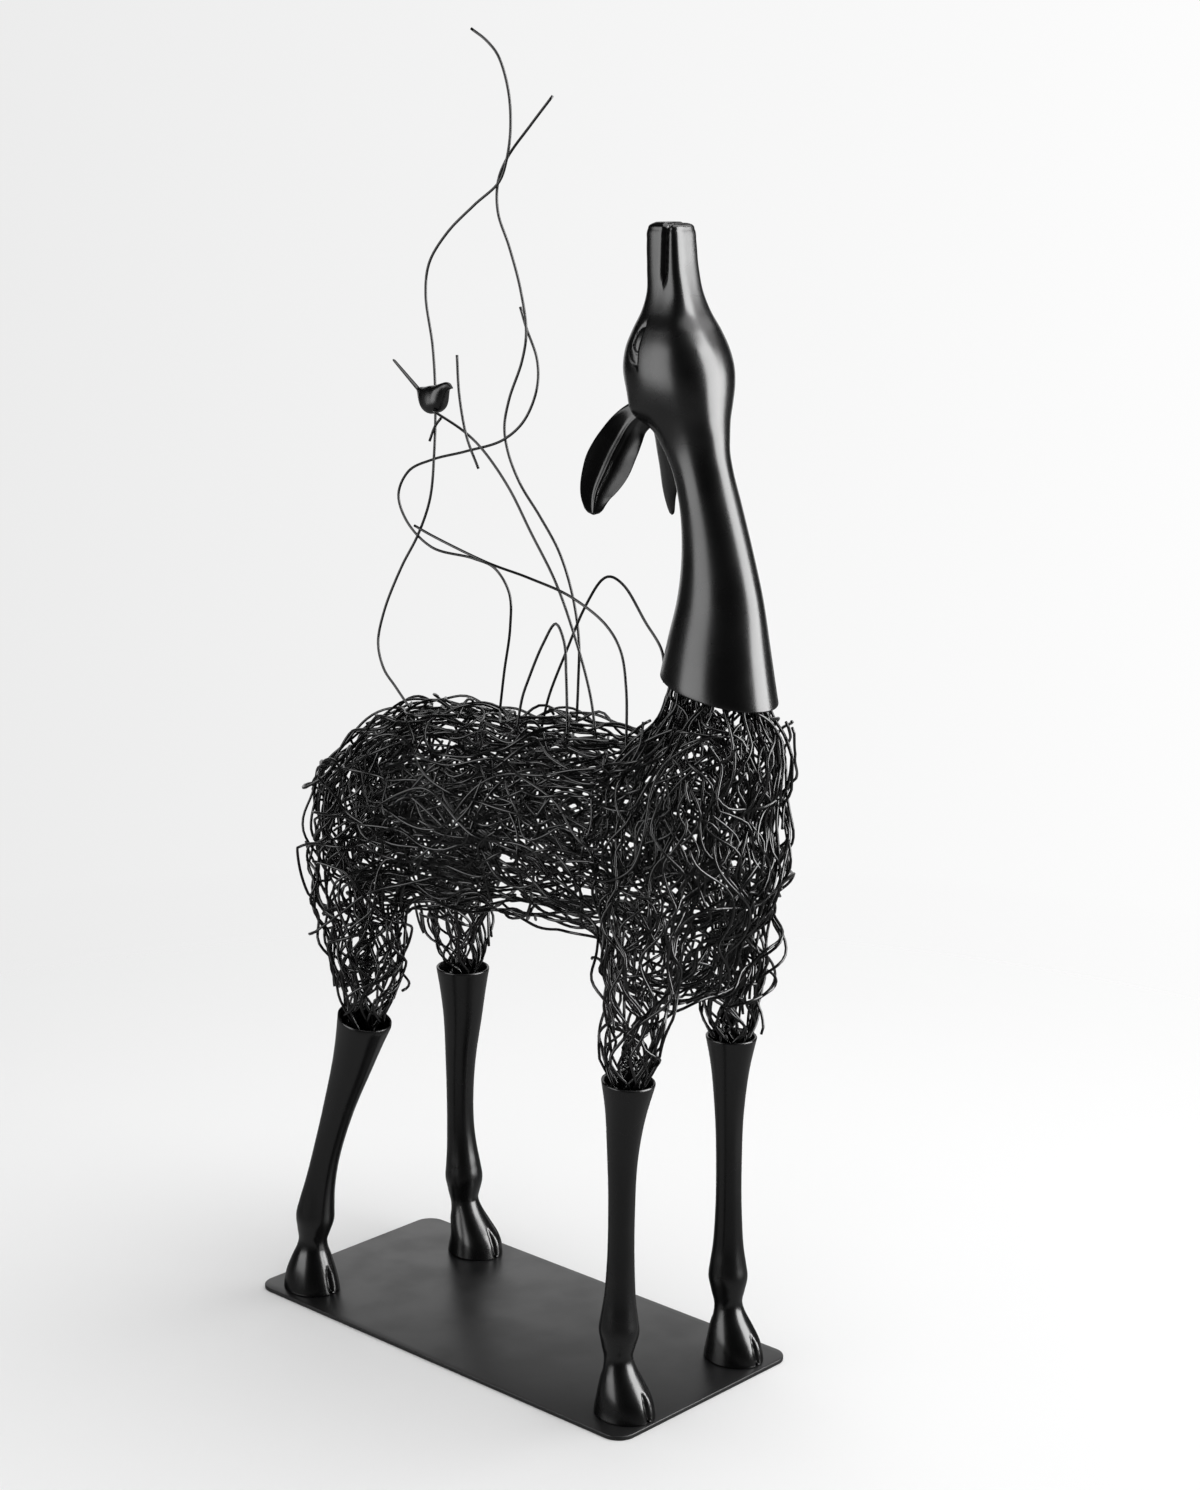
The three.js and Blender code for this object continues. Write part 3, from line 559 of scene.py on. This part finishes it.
def ear(side):
    """One ear: side is -1 for the deer's right and 1 for its left."""
    line = through(EAR_LINE, 1)
    last = len(line) - 1

    def place(row, angle):
        share = row / EAR_ROWS
        i = min(int(share * last), last - 1)
        down = (line[min(i + 4, last)] - line[max(i - 3, 0)]).normalized()
        middle = line[i].lerp(line[i + 1], share * last - i)
        across = EAR_OUTWARD.cross(down).normalized()
        face = down.cross(across)
        half_width, hollow, half_thick = EAR_WIDTHS(share)
        rim, front = math.cos(angle), math.sin(angle)
        cup = hollow * (abs(rim) ** 2.4 - 0.55)
        ridge = 0
        if front > 0:
            ridge = RIDGE_HEIGHT * hollow * math.exp(-((rim / RIDGE_WIDTH) ** 2)) * front
        lift = cup + ridge + half_thick * front
        point = middle + across * (half_width * rim) + face * lift
        drop = LEFT_EAR_DROP * share ** 2 if side > 0 else 0
        return spot(point.x, side * point.y, point.z - drop)

    return rolled(EAR_ROWS, EAR_SIDES, place)


def merged(*meshes):
    """Several meshes as one."""
    whole = bmesh.new()
    for bm in meshes:
        part = bpy.data.meshes.new("part")
        bm.to_mesh(part)
        bm.free()
        whole.from_mesh(part)
        bpy.data.meshes.remove(part)
    return whole


def head_and_neck():
    """The casting of head and neck, with both ears."""
    rows = head_rows()

    def place(row, angle):
        z, inset, reach = rows[row]
        level = z + collar_tilt(z, head_point(z, angle, inset, reach)[0])
        return spot(*head_point(level, angle, inset, reach))

    skin = rolled(len(rows) - 1, HEAD_SIDES, place)
    carve(skin, head_carving)
    return merged(skin, ear(-1), ear(1))


piece("head_casting", head_and_neck(), CASTING_PAINT, "casting", "head_and_neck")


# Legs: height, half depth and half width of each ring
FRONT_RINGS = columns([
    (0, 37, 30.5), (8, 36, 29.5), (26, 31, 26.5), (41, 24.5, 22), (53, 18.5, 18),
    (64, 16.5, 15.5), (80, 19.5, 18.5), (97, 23, 21.5), (113, 21, 20), (130, 18.5, 17.5),
    (171, 15.7, 14.8), (235, 15, 14), (285, 16.3, 15.3), (315, 18.5, 17.5), (350, 22.5, 21.5),
    (390, 30.5, 29),
])
HIND_RINGS = columns([
    (0, 37, 31.5), (8, 36, 30.5), (26, 31, 27), (41, 25, 22.5), (53, 19.5, 18.5),
    (62, 17.5, 17), (77, 20.5, 19.5), (93, 23.7, 22.5), (110, 22, 21), (130, 19.5, 18.5),
    (165, 17, 16.5), (200, 17, 16.3), (245, 19, 18), (295, 23.5, 22), (340, 29, 27.5),
    (368, 33.5, 32),
])

# A leg's rings, the middle of its sole and of its rim, and how far its line runs ahead of its
# sole at each height
LEGS = {
    "front_right_leg": (FRONT_RINGS, (260, -94.5), (269, -99, 388),
                        [(45, -5), (62, -8), (97, -7), (173, -4), (242, -2), (300, 0)]),
    "front_left_leg": (FRONT_RINGS, (256, 94.5), (249, 93, 386),
                       [(45, -5), (62, -8), (97, -9), (173, -9), (242, -9), (300, -9)]),
    "hind_right_leg": (HIND_RINGS, (-245, -105.5), (-140, -105, 365),
                       [(45, 2), (62, 4), (93, 9), (160, 26), (243, 56), (310, 84)]),
    "hind_left_leg": (HIND_RINGS, (-177, 105.5), (-194, 106, 368),
                      [(45, -12), (62, -18), (93, -19), (160, -24), (243, -23), (310, -18)]),
}
# A leg's rings lie level below the first height and square to its line above the second
UPRIGHT_BELOW, LEANS_ABOVE = 30, 90
LEG_SIDES = 96
CLEFT_TOP, CLEFT_AHEAD = 34, 14
CLEFT_HALF_WIDTH, CLEFT_DEPTH = 5.6, 3.4
CLEFT_ROUND = 0.8
CLEFT_LINE_DEPTH, CLEFT_LINE_WIDTH = 2.6, 0.9


def leg_axis(leg):
    """The middle of a leg and the lean of its rings at a height."""
    _, (sole_x, sole_y), (rim_x, rim_y, rim_z), line = leg
    bends = [(z, sole_x + ahead) for z, ahead in line]
    middle = columns([(0, sole_x), (20, sole_x), *bends, (rim_z, rim_x)])

    def at(z):
        slope = (middle(z + 1)[0] - middle(z - 1)[0]) / 2
        lean = math.atan(slope) * smooth_step(UPRIGHT_BELOW, LEANS_ABOVE, z)
        return middle(z)[0], sole_y + (rim_y - sole_y) * z / rim_z, lean

    return at


def cleft(leg):
    """The leaf-shaped groove between the two toes, and the fine line in it."""
    _, (sole_x, sole_y), _, _ = leg

    def depth(x, y, z):
        if z > CLEFT_TOP or x < sole_x + CLEFT_AHEAD:
            return 0
        share = min(max((z + 5) / 38, 0), 1)
        half_width = CLEFT_HALF_WIDTH * math.sin(math.pi * share) ** CLEFT_ROUND
        if half_width <= 0:
            return 0
        off = abs(y - sole_y) / half_width
        leaf = CLEFT_DEPTH * max(1 - off * off, 0) ** CLEFT_ROUND
        line = CLEFT_LINE_DEPTH * math.exp(-(((y - sole_y) / CLEFT_LINE_WIDTH) ** 2))
        return leaf + line * smooth_step(27, 20, z)

    return depth


def leg_casting(leg):
    """A lower leg from its sole to the cup that holds the wires."""
    rings, _, (_, _, rim_z), _ = leg
    axis = leg_axis(leg)
    rows = [(0, 0, 0), (0, 0, 0.6), (0, 0, 0.92), (0, 0.7, 1)]
    rows += [(0.5, 0.2, 1), (1.2, 0, 1), (2, 0, 1)]
    rows += [(z, 0, 1) for z in stretches(2, (40, 26), (130, 32), (rim_z - 2, 44))]
    lip = CUP_WALL / 2
    for share in (0.1, 0.3, 0.5, 0.7, 0.9):
        turn = share * math.pi
        rows.append((rim_z - lip + lip * math.sin(turn), lip - lip * math.cos(turn), 1))
    rows += [(rim_z - drop, CUP_WALL, 1) for drop in (2, 10, 24, CUP_DEPTH)]
    rows += [(rim_z - CUP_DEPTH, CUP_WALL, reach) for reach in (0.6, 0)]

    def place(row, angle):
        z, inset, reach = rows[row]
        x, y, lean = axis(z)
        deep, wide = rings(z)
        out, side = ring_point(angle, deep - inset, wide - inset, 2)
        along = reach * out
        return spot(x + along * math.cos(lean), y + reach * side, z - along * math.sin(lean))

    skin = rolled(len(rows) - 1, LEG_SIDES, place)
    carve(skin, cleft(leg))
    return skin


for leg_name, leg_shape in LEGS.items():
    piece(leg_name + "_casting", leg_casting(leg_shape), CASTING_PAINT, "casting", leg_name)


# Plate
PLATE_CORNER = 0.022
PLATE_EDGE = 0.0007
SHARP_ANGLE = math.radians(32)


def plate():
    """The flat plate, with rounded corners and softened edges."""
    bm = bmesh.new()
    bmesh.ops.create_cube(bm, size=1)
    size = PLATE_HIGH - PLATE_LOW
    bmesh.ops.scale(bm, vec=size, verts=bm.verts)
    bmesh.ops.translate(bm, vec=(PLATE_HIGH + PLATE_LOW) / 2, verts=bm.verts)

    def soften(edges, width, segments):
        bmesh.ops.bevel(bm, geom=edges, offset=width, segments=segments, profile=0.5,
                        affect="EDGES", material=-1)

    def height(edge):
        return abs(edge.verts[0].co.z - edge.verts[1].co.z)

    soften([edge for edge in bm.edges if height(edge) > size.z / 2], PLATE_CORNER, 16)
    level = [face for face in bm.faces if abs(face.normal.z) > 0.9]
    soften(list({edge for face in level for edge in face.edges}), PLATE_EDGE, 3)
    return bm


plate_piece = piece("plate_sheet", plate(), PLATE_PAINT, "plate", "base_plate")
plate_piece.data.set_sharp_from_angle(angle=SHARP_ANGLE)


# Branches: points listed from each tip down, in millimetres; a rooted one ends on the back
BRANCHES = {
    "branch_tall_bare": [
        (-36, -18, 1477), (-16, -16, 1465), (-2, -12, 1449), (8, -7, 1413), (7, -3, 1372),
        (-1, -1.6, 1339), (-12, -1.6, 1317), (-49, -4, 1291), (-88, -8, 1260), (-116, -9, 1226),
        (-123, -8, 1191), (-117, -4, 1134), (-118, 0, 1075), (-121, 0, 1016), (-129, 0, 962),
        (-150, 0, 918), (-173, -5, 879), (-195, -13, 826), (-201, -18, 788), (-189, -21, 760),
        (-166, -24, 742), (-140, -27, 722)],
    "branch_tall_forked": [
        (43, 25, 1407), (20, 14, 1376), (-2, 1.6, 1343), (-17, 1.6, 1317), (-21, 5, 1284),
        (-8, 9, 1247), (7, 11, 1201), (15, 11, 1156), (8, 11, 1124), (-9, 8, 1082),
        (-15, 6.4, 1051), (-10, 7, 1023), (4, 11, 990), (30, 16, 955), (55, 20, 918),
        (70, 25, 872), (77, 28, 822), (74, 30, 770), (70, 31, 720)],
    "branch_looping": [
        (3, 14.2, 1183), (12, 14.2, 1161), (29, 13.5, 1127), (31, 11, 1097), (17, 6, 1062),
        (-13, 3.2, 1038), (-73, 3.2, 1020), (-128, 3.2, 1006), (-168, 3.2, 989),
        (-185, 3.2, 961), (-173, 3.2, 933), (-132, 3.2, 906), (-63, 3.2, 900), (-29, 4, 892),
        (-10, 7, 866), (-13, 11, 826), (-29, 17, 772), (-40, 20, 722)],
    "branch_under_bird": [
        (-98, -23.8, 1066), (-70, -4, 1044), (-45, 0, 1026), (1, -4, 987), (37, -6, 941),
        (76, -8, 891), (107, -10, 834), (132, -12, 773), (142, -13, 722)],
    "branch_to_neck": [
        (-152, -3.2, 929), (-122, -3, 920), (-40, 0, 899), (41, -12, 891), (113, -20, 879),
        (163, -20, 855), (184, -20, 830), (194, -22, 790), (196, -24, 722)],
    "branch_small_arch": [
        (42, -36, 720), (50, -34, 762), (58, -33, 782), (79, -31, 825), (98, -30, 850),
        (111, -31, 832), (115, -32, 796), (118, -34, 760), (120, -36, 720)],
    "branch_large_arch": [
        (36, 11, 720), (48, 10, 756), (76, 9, 811), (104, 8, 862), (135, 3, 898),
        (151, 0, 904), (177, -6, 897), (217, -18, 866), (247, -24, 838), (252, -26, 806)],
    "branch_twig": [(-72, -10, 1128), (-71, -8, 1083), (-62, -6.2, 1038), (-44, -6, 1004)],
    "branch_stub": [(-105, -3.2, 1056), (-116, -3.2, 1045), (-125, -3.2, 1028)],
}
BRANCH_STEP, BRANCH_SIDES = 0.005, 12

for branch_name, branch_points in BRANCHES.items():
    bent = through([spot(*point) for point in branch_points], BRANCH_STEP)
    bent_wire = wires([bent], BRANCH_WIRE, BRANCH_SIDES)
    piece(branch_name + "_wire", bent_wire, WIRE_PAINT, "wire", branch_name)


# Bird: distance along, height of the middle, half height and half width, from tail to beak
BIRD_RINGS = columns([
    (-134.4, 1087.5, 0.3, 0.3), (-133.5, 1087, 1.4, 1.2), (-131, 1084.8, 4, 3),
    (-127, 1081, 8.5, 5.8), (-121, 1077.5, 12.5, 9.5), (-111, 1076.3, 15.8, 11.5),
    (-103, 1077.5, 15.6, 11.5), (-96, 1079.5, 15.5, 10.8), (-90, 1083.5, 13.3, 8),
    (-87, 1088.3, 9.2, 5.8), (-84, 1092.3, 5, 4.2), (-81, 1093, 3.6, 2.8),
    (-78, 1092.4, 1.8, 1.4), (-76.2, 1091.6, 0.8, 0.6), (-75.6, 1091.3, 0.2, 0.2),
])
BIRD_REAR, BIRD_BEAK = -134.4, -75.6
BIRD_SIDE = -13.2
BIRD_SQUARENESS = 2.3
BIRD_ROWS, BIRD_SIDES = 80, 48
TAIL_BASE, TAIL_TIP = (-128, 1084), (-173, 1118)
TAIL_ROWS, TAIL_SIDES = 24, 24
TAIL_CLOSING = 0.06


def bird():
    """The bird's body, neck and beak, and its straight tail."""
    def place(row, angle):
        share = row / BIRD_ROWS
        x = BIRD_REAR + (BIRD_BEAK - BIRD_REAR) * (1 - math.cos(share * math.pi)) / 2
        middle, high, wide = BIRD_RINGS(x)
        out, up = ring_point(angle, wide, high, BIRD_SQUARENESS)
        return spot(x, BIRD_SIDE + out, middle + up)

    def place_tail(row, angle):
        share = row / TAIL_ROWS
        x = TAIL_BASE[0] + (TAIL_TIP[0] - TAIL_BASE[0]) * share
        z = TAIL_BASE[1] + (TAIL_TIP[1] - TAIL_BASE[1]) * share
        beyond = max(share - (1 - TAIL_CLOSING), 0)
        close = math.sqrt(max(1 - beyond ** 2 / TAIL_CLOSING ** 2, 0)) * min(row, 1)
        out = (3.4 - 1.2 * share) * close * math.cos(angle)
        up = (1.7 - 0.8 * share) * close * math.sin(angle)
        return spot(x + up * 0.6, BIRD_SIDE + out, z + up * 0.8)

    body = rolled(BIRD_ROWS, BIRD_SIDES, place)
    return merged(body, rolled(TAIL_ROWS, TAIL_SIDES, place_tail))


piece("bird_casting", bird(), CASTING_PAINT, "casting", "bird")


# Wire body. It follows a rounded body made of egg shapes and of limbs given by level rings.
# Eggs: middle and half sizes. Limbs: height, middle x and y, half depth and half width.
EGGS = [
    ((-0.200, 0, 0.578), (0.096, 0.106, 0.100)),
    ((-0.090, 0, 0.615), (0.175, 0.112, 0.117)),
    ((0.100, 0, 0.624), (0.210, 0.108, 0.118)),
    ((0.265, 0, 0.640), (0.110, 0.108, 0.132)),
    ((0.245, 0, 0.510), (0.070, 0.075, 0.055)),
]
NECK_LIMB = [
    (0.700, 0.300, 0, 0.080, 0.080), (0.740, 0.304, 0, 0.082, 0.074),
    (0.765, 0.306, 0, 0.076, 0.066), (0.792, 0.304, 0, 0.066, 0.053),
    (0.812, 0.303, 0, 0.060, 0.047), (0.860, 0.304, 0, 0.050, 0.040),
]
# A leg's rings: height over the rim of its casting, how far ahead of the rim, and half size
LEG_LIMBS = {
    "front_right_leg": [
        (-0.035, 0, 0.017), (0, 0, 0.024), (0.022, 0.001, 0.034), (0.07, 0.006, 0.042),
        (0.14, 0.008, 0.050), (0.20, 0.004, 0.052)],
    "front_left_leg": [
        (-0.035, 0, 0.017), (0, 0, 0.024), (0.022, 0.001, 0.034), (0.07, 0.006, 0.042),
        (0.14, 0.010, 0.050), (0.20, 0.012, 0.052)],
    "hind_right_leg": [
        (-0.035, -0.01, 0.019), (0, 0, 0.027), (0.022, 0.004, 0.036), (0.07, 0.000, 0.048),
        (0.14, -0.022, 0.059), (0.20, -0.034, 0.060)],
    "hind_left_leg": [
        (-0.035, 0, 0.019), (0, 0, 0.027), (0.022, 0, 0.036), (0.07, -0.002, 0.044),
        (0.14, -0.006, 0.056), (0.20, -0.010, 0.060)],
}
LIMB_FLATNESS = 0.93
LIMB_INWARD = 0.10
FAR = 1.0
MERGE = 0.010
SMALL = 0.002
TINY = 1e-9
STEP = 0.008
GRAIN_PULL = 0.05
CALM_BAND = 0.03
STEEPEST = 0.8
BODY_SIDES = 6
LOWEST_WIRE, HIGHEST_TRUNK_WIRE = spot(0, 0, 396).z, spot(0, 0, 772).z
RANDOM = np.random.default_rng(5)


def draw(low, high, count):
    return RANDOM.uniform(low, high, count)


def unit_rows(rows):
    return rows / np.maximum(np.linalg.norm(rows, axis=1, keepdims=True), TINY)


def leg_limb(name):
    """A leg's wire as level rings, from its place over the rim of the leg's casting."""
    _, _, (rim_x, rim_y, rim_z), _ = LEGS[name]
    rows = []
    for above, ahead, reach in LEG_LIMBS[name]:
        inward = math.copysign(max(above, 0) * LIMB_INWARD, -rim_y)
        middle = spot(rim_x, rim_y, rim_z) + Vector((ahead, inward, above))
        rows.append((middle.z, middle.x, middle.y, reach, reach * LIMB_FLATNESS))
    return rows


LIMBS = [np.array(NECK_LIMB)] + [np.array(leg_limb(name)) for name in LEGS]


def egg_height(points, egg):
    """About how far points lie over an egg shape."""
    middle, radii = (np.array(value) for value in egg)
    scaled = (points - middle) / radii
    near = np.linalg.norm(scaled, axis=1)
    return near * (near - 1) / np.maximum(np.linalg.norm(scaled / radii, axis=1), 1e-6)


def limb_height(points, limb):
    """About how far points lie over a limb."""
    level = points[:, 2]
    x, y, deep, wide = (np.interp(level, limb[:, 0], limb[:, i]) for i in (1, 2, 3, 4))
    reach = np.hypot((points[:, 0] - x) / deep, (points[:, 1] - y) / wide)
    beyond = np.maximum(limb[0, 0] - level, level - limb[-1, 0])
    return (reach - 1) * np.minimum(deep, wide) + np.where(beyond > 0, beyond * 1.2, 0)


def body_height(points):
    """How far points lie over the rounded body, with its parts melted together."""
    heights = [egg_height(points, egg) for egg in EGGS]
    heights += [limb_height(points, limb) for limb in LIMBS]
    heights = np.minimum(np.array(heights), FAR)
    return -MERGE * np.log(np.exp(-heights / MERGE).sum(axis=0))


def body_surface(points):
    """The height over the body and the outward direction there."""
    height = body_height(points)
    rise = [body_height(points + SMALL * np.eye(3)[axis]) - height for axis in range(3)]
    return height, unit_rows(np.stack(rise, axis=1))


def steps_between(low, high, values):
    """The smooth step for a whole array."""
    share = np.clip((values - low) / (high - low), 0, 1)
    return share * share * (3 - 2 * share)


def grain(points):
    """The way the wires run: along the trunk, down the legs, and down from the neck."""
    x, z = points[:, 0], points[:, 2]
    over_leg = steps_between(-0.10, -0.18, x) + steps_between(0.12, 0.20, x)
    lower = steps_between(0.64, 0.53, z) * over_leg
    front = steps_between(0.02, 0.10, x)
    neck = steps_between(0.17, 0.27, x) * steps_between(0.52, 0.64, z)
    along = np.where(front > 0.5, 1, -1) * (1 - lower) * (1 - neck)
    lean = np.zeros((len(points), 3))
    lean[:, 0] = along
    lean[:, 2] = neck - lower * (1 - neck)
    return unit_rows(lean)


def grow(start, course, lengths, layer, manner, calm=0.0):
    """Wires that start at points and wander over the body, each of its own length.

    Each keeps a course near the grain and swings from side to side of it. Layer is its height
    over the body. Its manner gives how far it leans off its course, the ranges of its swing, of
    that swing's length and of how sharp its bends are, and how far it rises and falls, which
    stops below the calm level."""
    lean_off, swing, wave, bend, ripple = manner
    count = len(start)
    place = start.copy()
    course = unit_rows(course)
    sway = draw(*swing, count)
    wave_length, wave_phase = draw(*wave, count), draw(0, TURN, count)
    drift, drift_length = draw(0.1, 0.45, count), draw(0.15, 0.35, count)
    drift_phase = draw(0, TURN, count)
    kink = draw(*bend, count)
    rise, rise_length = draw(0.3, 1, count) * ripple, draw(0.06, 0.13, count)
    rise_phase = draw(0, TURN, count)
    bias = draw(-lean_off, lean_off, count)
    trail = [place.copy()]
    for i in range(int(max(lengths) / STEP)):
        run = i * STEP
        height, normal = body_surface(place)
        lean = grain(place)
        lean -= normal * (lean * normal).sum(axis=1, keepdims=True)
        course -= normal * (course * normal).sum(axis=1, keepdims=True)
        course = unit_rows(course)
        sense = np.sign((lean * course).sum(axis=1, keepdims=True))
        course = unit_rows(course + GRAIN_PULL * sense * lean)
        side = np.cross(normal, course)
        beat = np.sin(wave_phase + TURN * run / wave_length)
        swinging = sway * np.tanh(kink * beat) / np.tanh(kink)
        turn = swinging + drift * np.sin(drift_phase + TURN * run / drift_length) + bias
        turn = turn[:, None]
        free = np.clip((place[:, 2] - calm) / CALM_BAND, 0, 1)
        goal = layer + free * rise * np.sin(rise_phase + TURN * run / rise_length)
        pull = np.clip((height - goal) / (4 * STEP), -STEEPEST, STEEPEST)[:, None]
        heading = unit_rows(np.cos(turn) * course + np.sin(turn) * side - pull * normal)
        place = place + heading * STEP
        trail.append(place.copy())
    trail = np.array(trail)
    return [trail[: max(int(length / STEP), 3) + 1, i] for i, length in enumerate(lengths)]


def between_rims(line, highest):
    """Cuts a wire off where it would run over the rim of a leg's casting or of the collar."""
    beyond = (line[:, 2] < LOWEST_WIRE) | (line[:, 2] > highest)
    return line[: int(np.argmax(beyond))] if beyond.any() else line


def onto_body(points, layer):
    """Moves points to their layer over the body."""
    for _ in range(6):
        height, normal = body_surface(points)
        points = points - normal * (height - layer)[:, None]
    return points


# Layers of the trunk's tangle: number of wires, and the ranges of the place along the trunk
# where they start, of the angle round it, of their layer and of their length, how far their
# course is turned aside, and their manner. The trunk's wires are a loose thick shell, the inner
# wires fill it, the outer wires lie over the others, mostly on back and flanks, and the loose
# wires stand out in low loops, most of them over the back.
SHELLS = {
    "trunk_wires": (220, (-0.29, 0.27), (0, TURN), (-0.040, 0.002), (0.26, 0.60), 0.7,
                    (0.7, (0.25, 0.55), (0.10, 0.20), (0.8, 2.4), 0.009)),
    "inner_wires": (90, (-0.25, 0.30), (0, TURN), (-0.095, -0.045), (0.25, 0.55), 0.7,
                    (0.7, (0.25, 0.60), (0.10, 0.18), (0.8, 2.4), 0.012)),
    "outer_wires": (46, (-0.28, 0.20), (-2.3, 2.3), (0.000, 0.006), (0.30, 0.60), 0.3,
                    (0.4, (0.2, 0.5), (0.12, 0.24), (0.8, 2.4), 0.009)),
    "loose_wires": (50, (-0.27, 0.30), (-2.6, 2.6), (-0.004, 0.006), (0.15, 0.36), 0.5,
                    (0.6, (0.2, 0.6), (0.08, 0.16), (1.5, 4), 0.022)),
}
TRUNK_RADIUS, TRUNK_LEVEL = 0.2, 0.62
SHORTEST_WIRE = 6
NECK_WIRES, LEG_WIRES = 95, 27


def shell_wires(count, along, around, layers, lengths, aside, manner):
    """One layer of the trunk's tangle."""
    angle = draw(*around, count)
    start = np.stack([
        draw(*along, count),
        TRUNK_RADIUS * np.sin(angle),
        TRUNK_LEVEL + TRUNK_RADIUS * np.cos(angle),
    ], axis=1)
    layer = draw(*layers, count)
    start = onto_body(start, layer)
    course = np.stack([
        draw(-1, 1, count),
        draw(-aside, aside, count),
        draw(-aside, aside, count),
    ], axis=1)
    lines = grow(start, course, draw(*lengths, count), layer, manner)
    lines = [between_rims(line, HIGHEST_TRUNK_WIRE) for line in lines]
    return [line for line in lines if len(line) > SHORTEST_WIRE]


def neck_wires(count):
    """Wires that come down out of the collar and spread over breast and shoulders."""
    angle = draw(0, TURN, count)
    ring = NECK_LIMB[-1]
    reach = draw(0.70, 0.93, count)
    start = np.stack([
        ring[1] + ring[3] * reach * np.cos(angle),
        ring[4] * reach * np.sin(angle),
        np.full(count, ring[0] - 0.01),
    ], axis=1)
    course = np.tile([0.0, 0.0, -1.0], (count, 1))
    layer = draw(-0.028, -0.002, count)
    manner = (0.85, (0.35, 0.75), (0.07, 0.15), (1, 3), 0.009)
    lines = grow(start, course, draw(0.20, 0.50, count), layer, manner)
    return [between_rims(line, FAR) for line in lines]


def leg_wires(name, count):
    """Wires that rise out of the cup of one leg, weave up it and run on into the trunk."""
    level, x, y, deep, wide = leg_limb(name)[0]
    angle = np.arange(count) * TURN / count + draw(-0.1, 0.1, count)
    reach = draw(0.45, 0.92, count)
    start = np.stack([
        x + deep * reach * np.cos(angle),
        y + wide * reach * np.sin(angle),
        np.full(count, level),
    ], axis=1)
    course = np.tile([0.0, 0.0, 1.0], (count, 1))
    layer = draw(-0.012, 0.000, count)
    rim = leg_limb(name)[1][0]
    manner = (0.2, (0.40, 0.70), (0.08, 0.14), (1, 3), 0.012)
    return grow(start, course, draw(0.20, 0.48, count), layer, manner, rim)


tangle = {name: shell_wires(*shell) for name, shell in SHELLS.items()}
tangle["neck_wires"] = neck_wires(NECK_WIRES)
tangle["leg_wires"] = [line for name in LEGS for line in leg_wires(name, LEG_WIRES)]

for tangle_name, tangle_lines in tangle.items():
    nodes = ["wire_body"] if tangle_name == "trunk_wires" else []
    bent_wires = wires(tangle_lines, BODY_WIRE, BODY_SIDES)
    piece(tangle_name, bent_wires, WIRE_PAINT, "wire", *nodes)
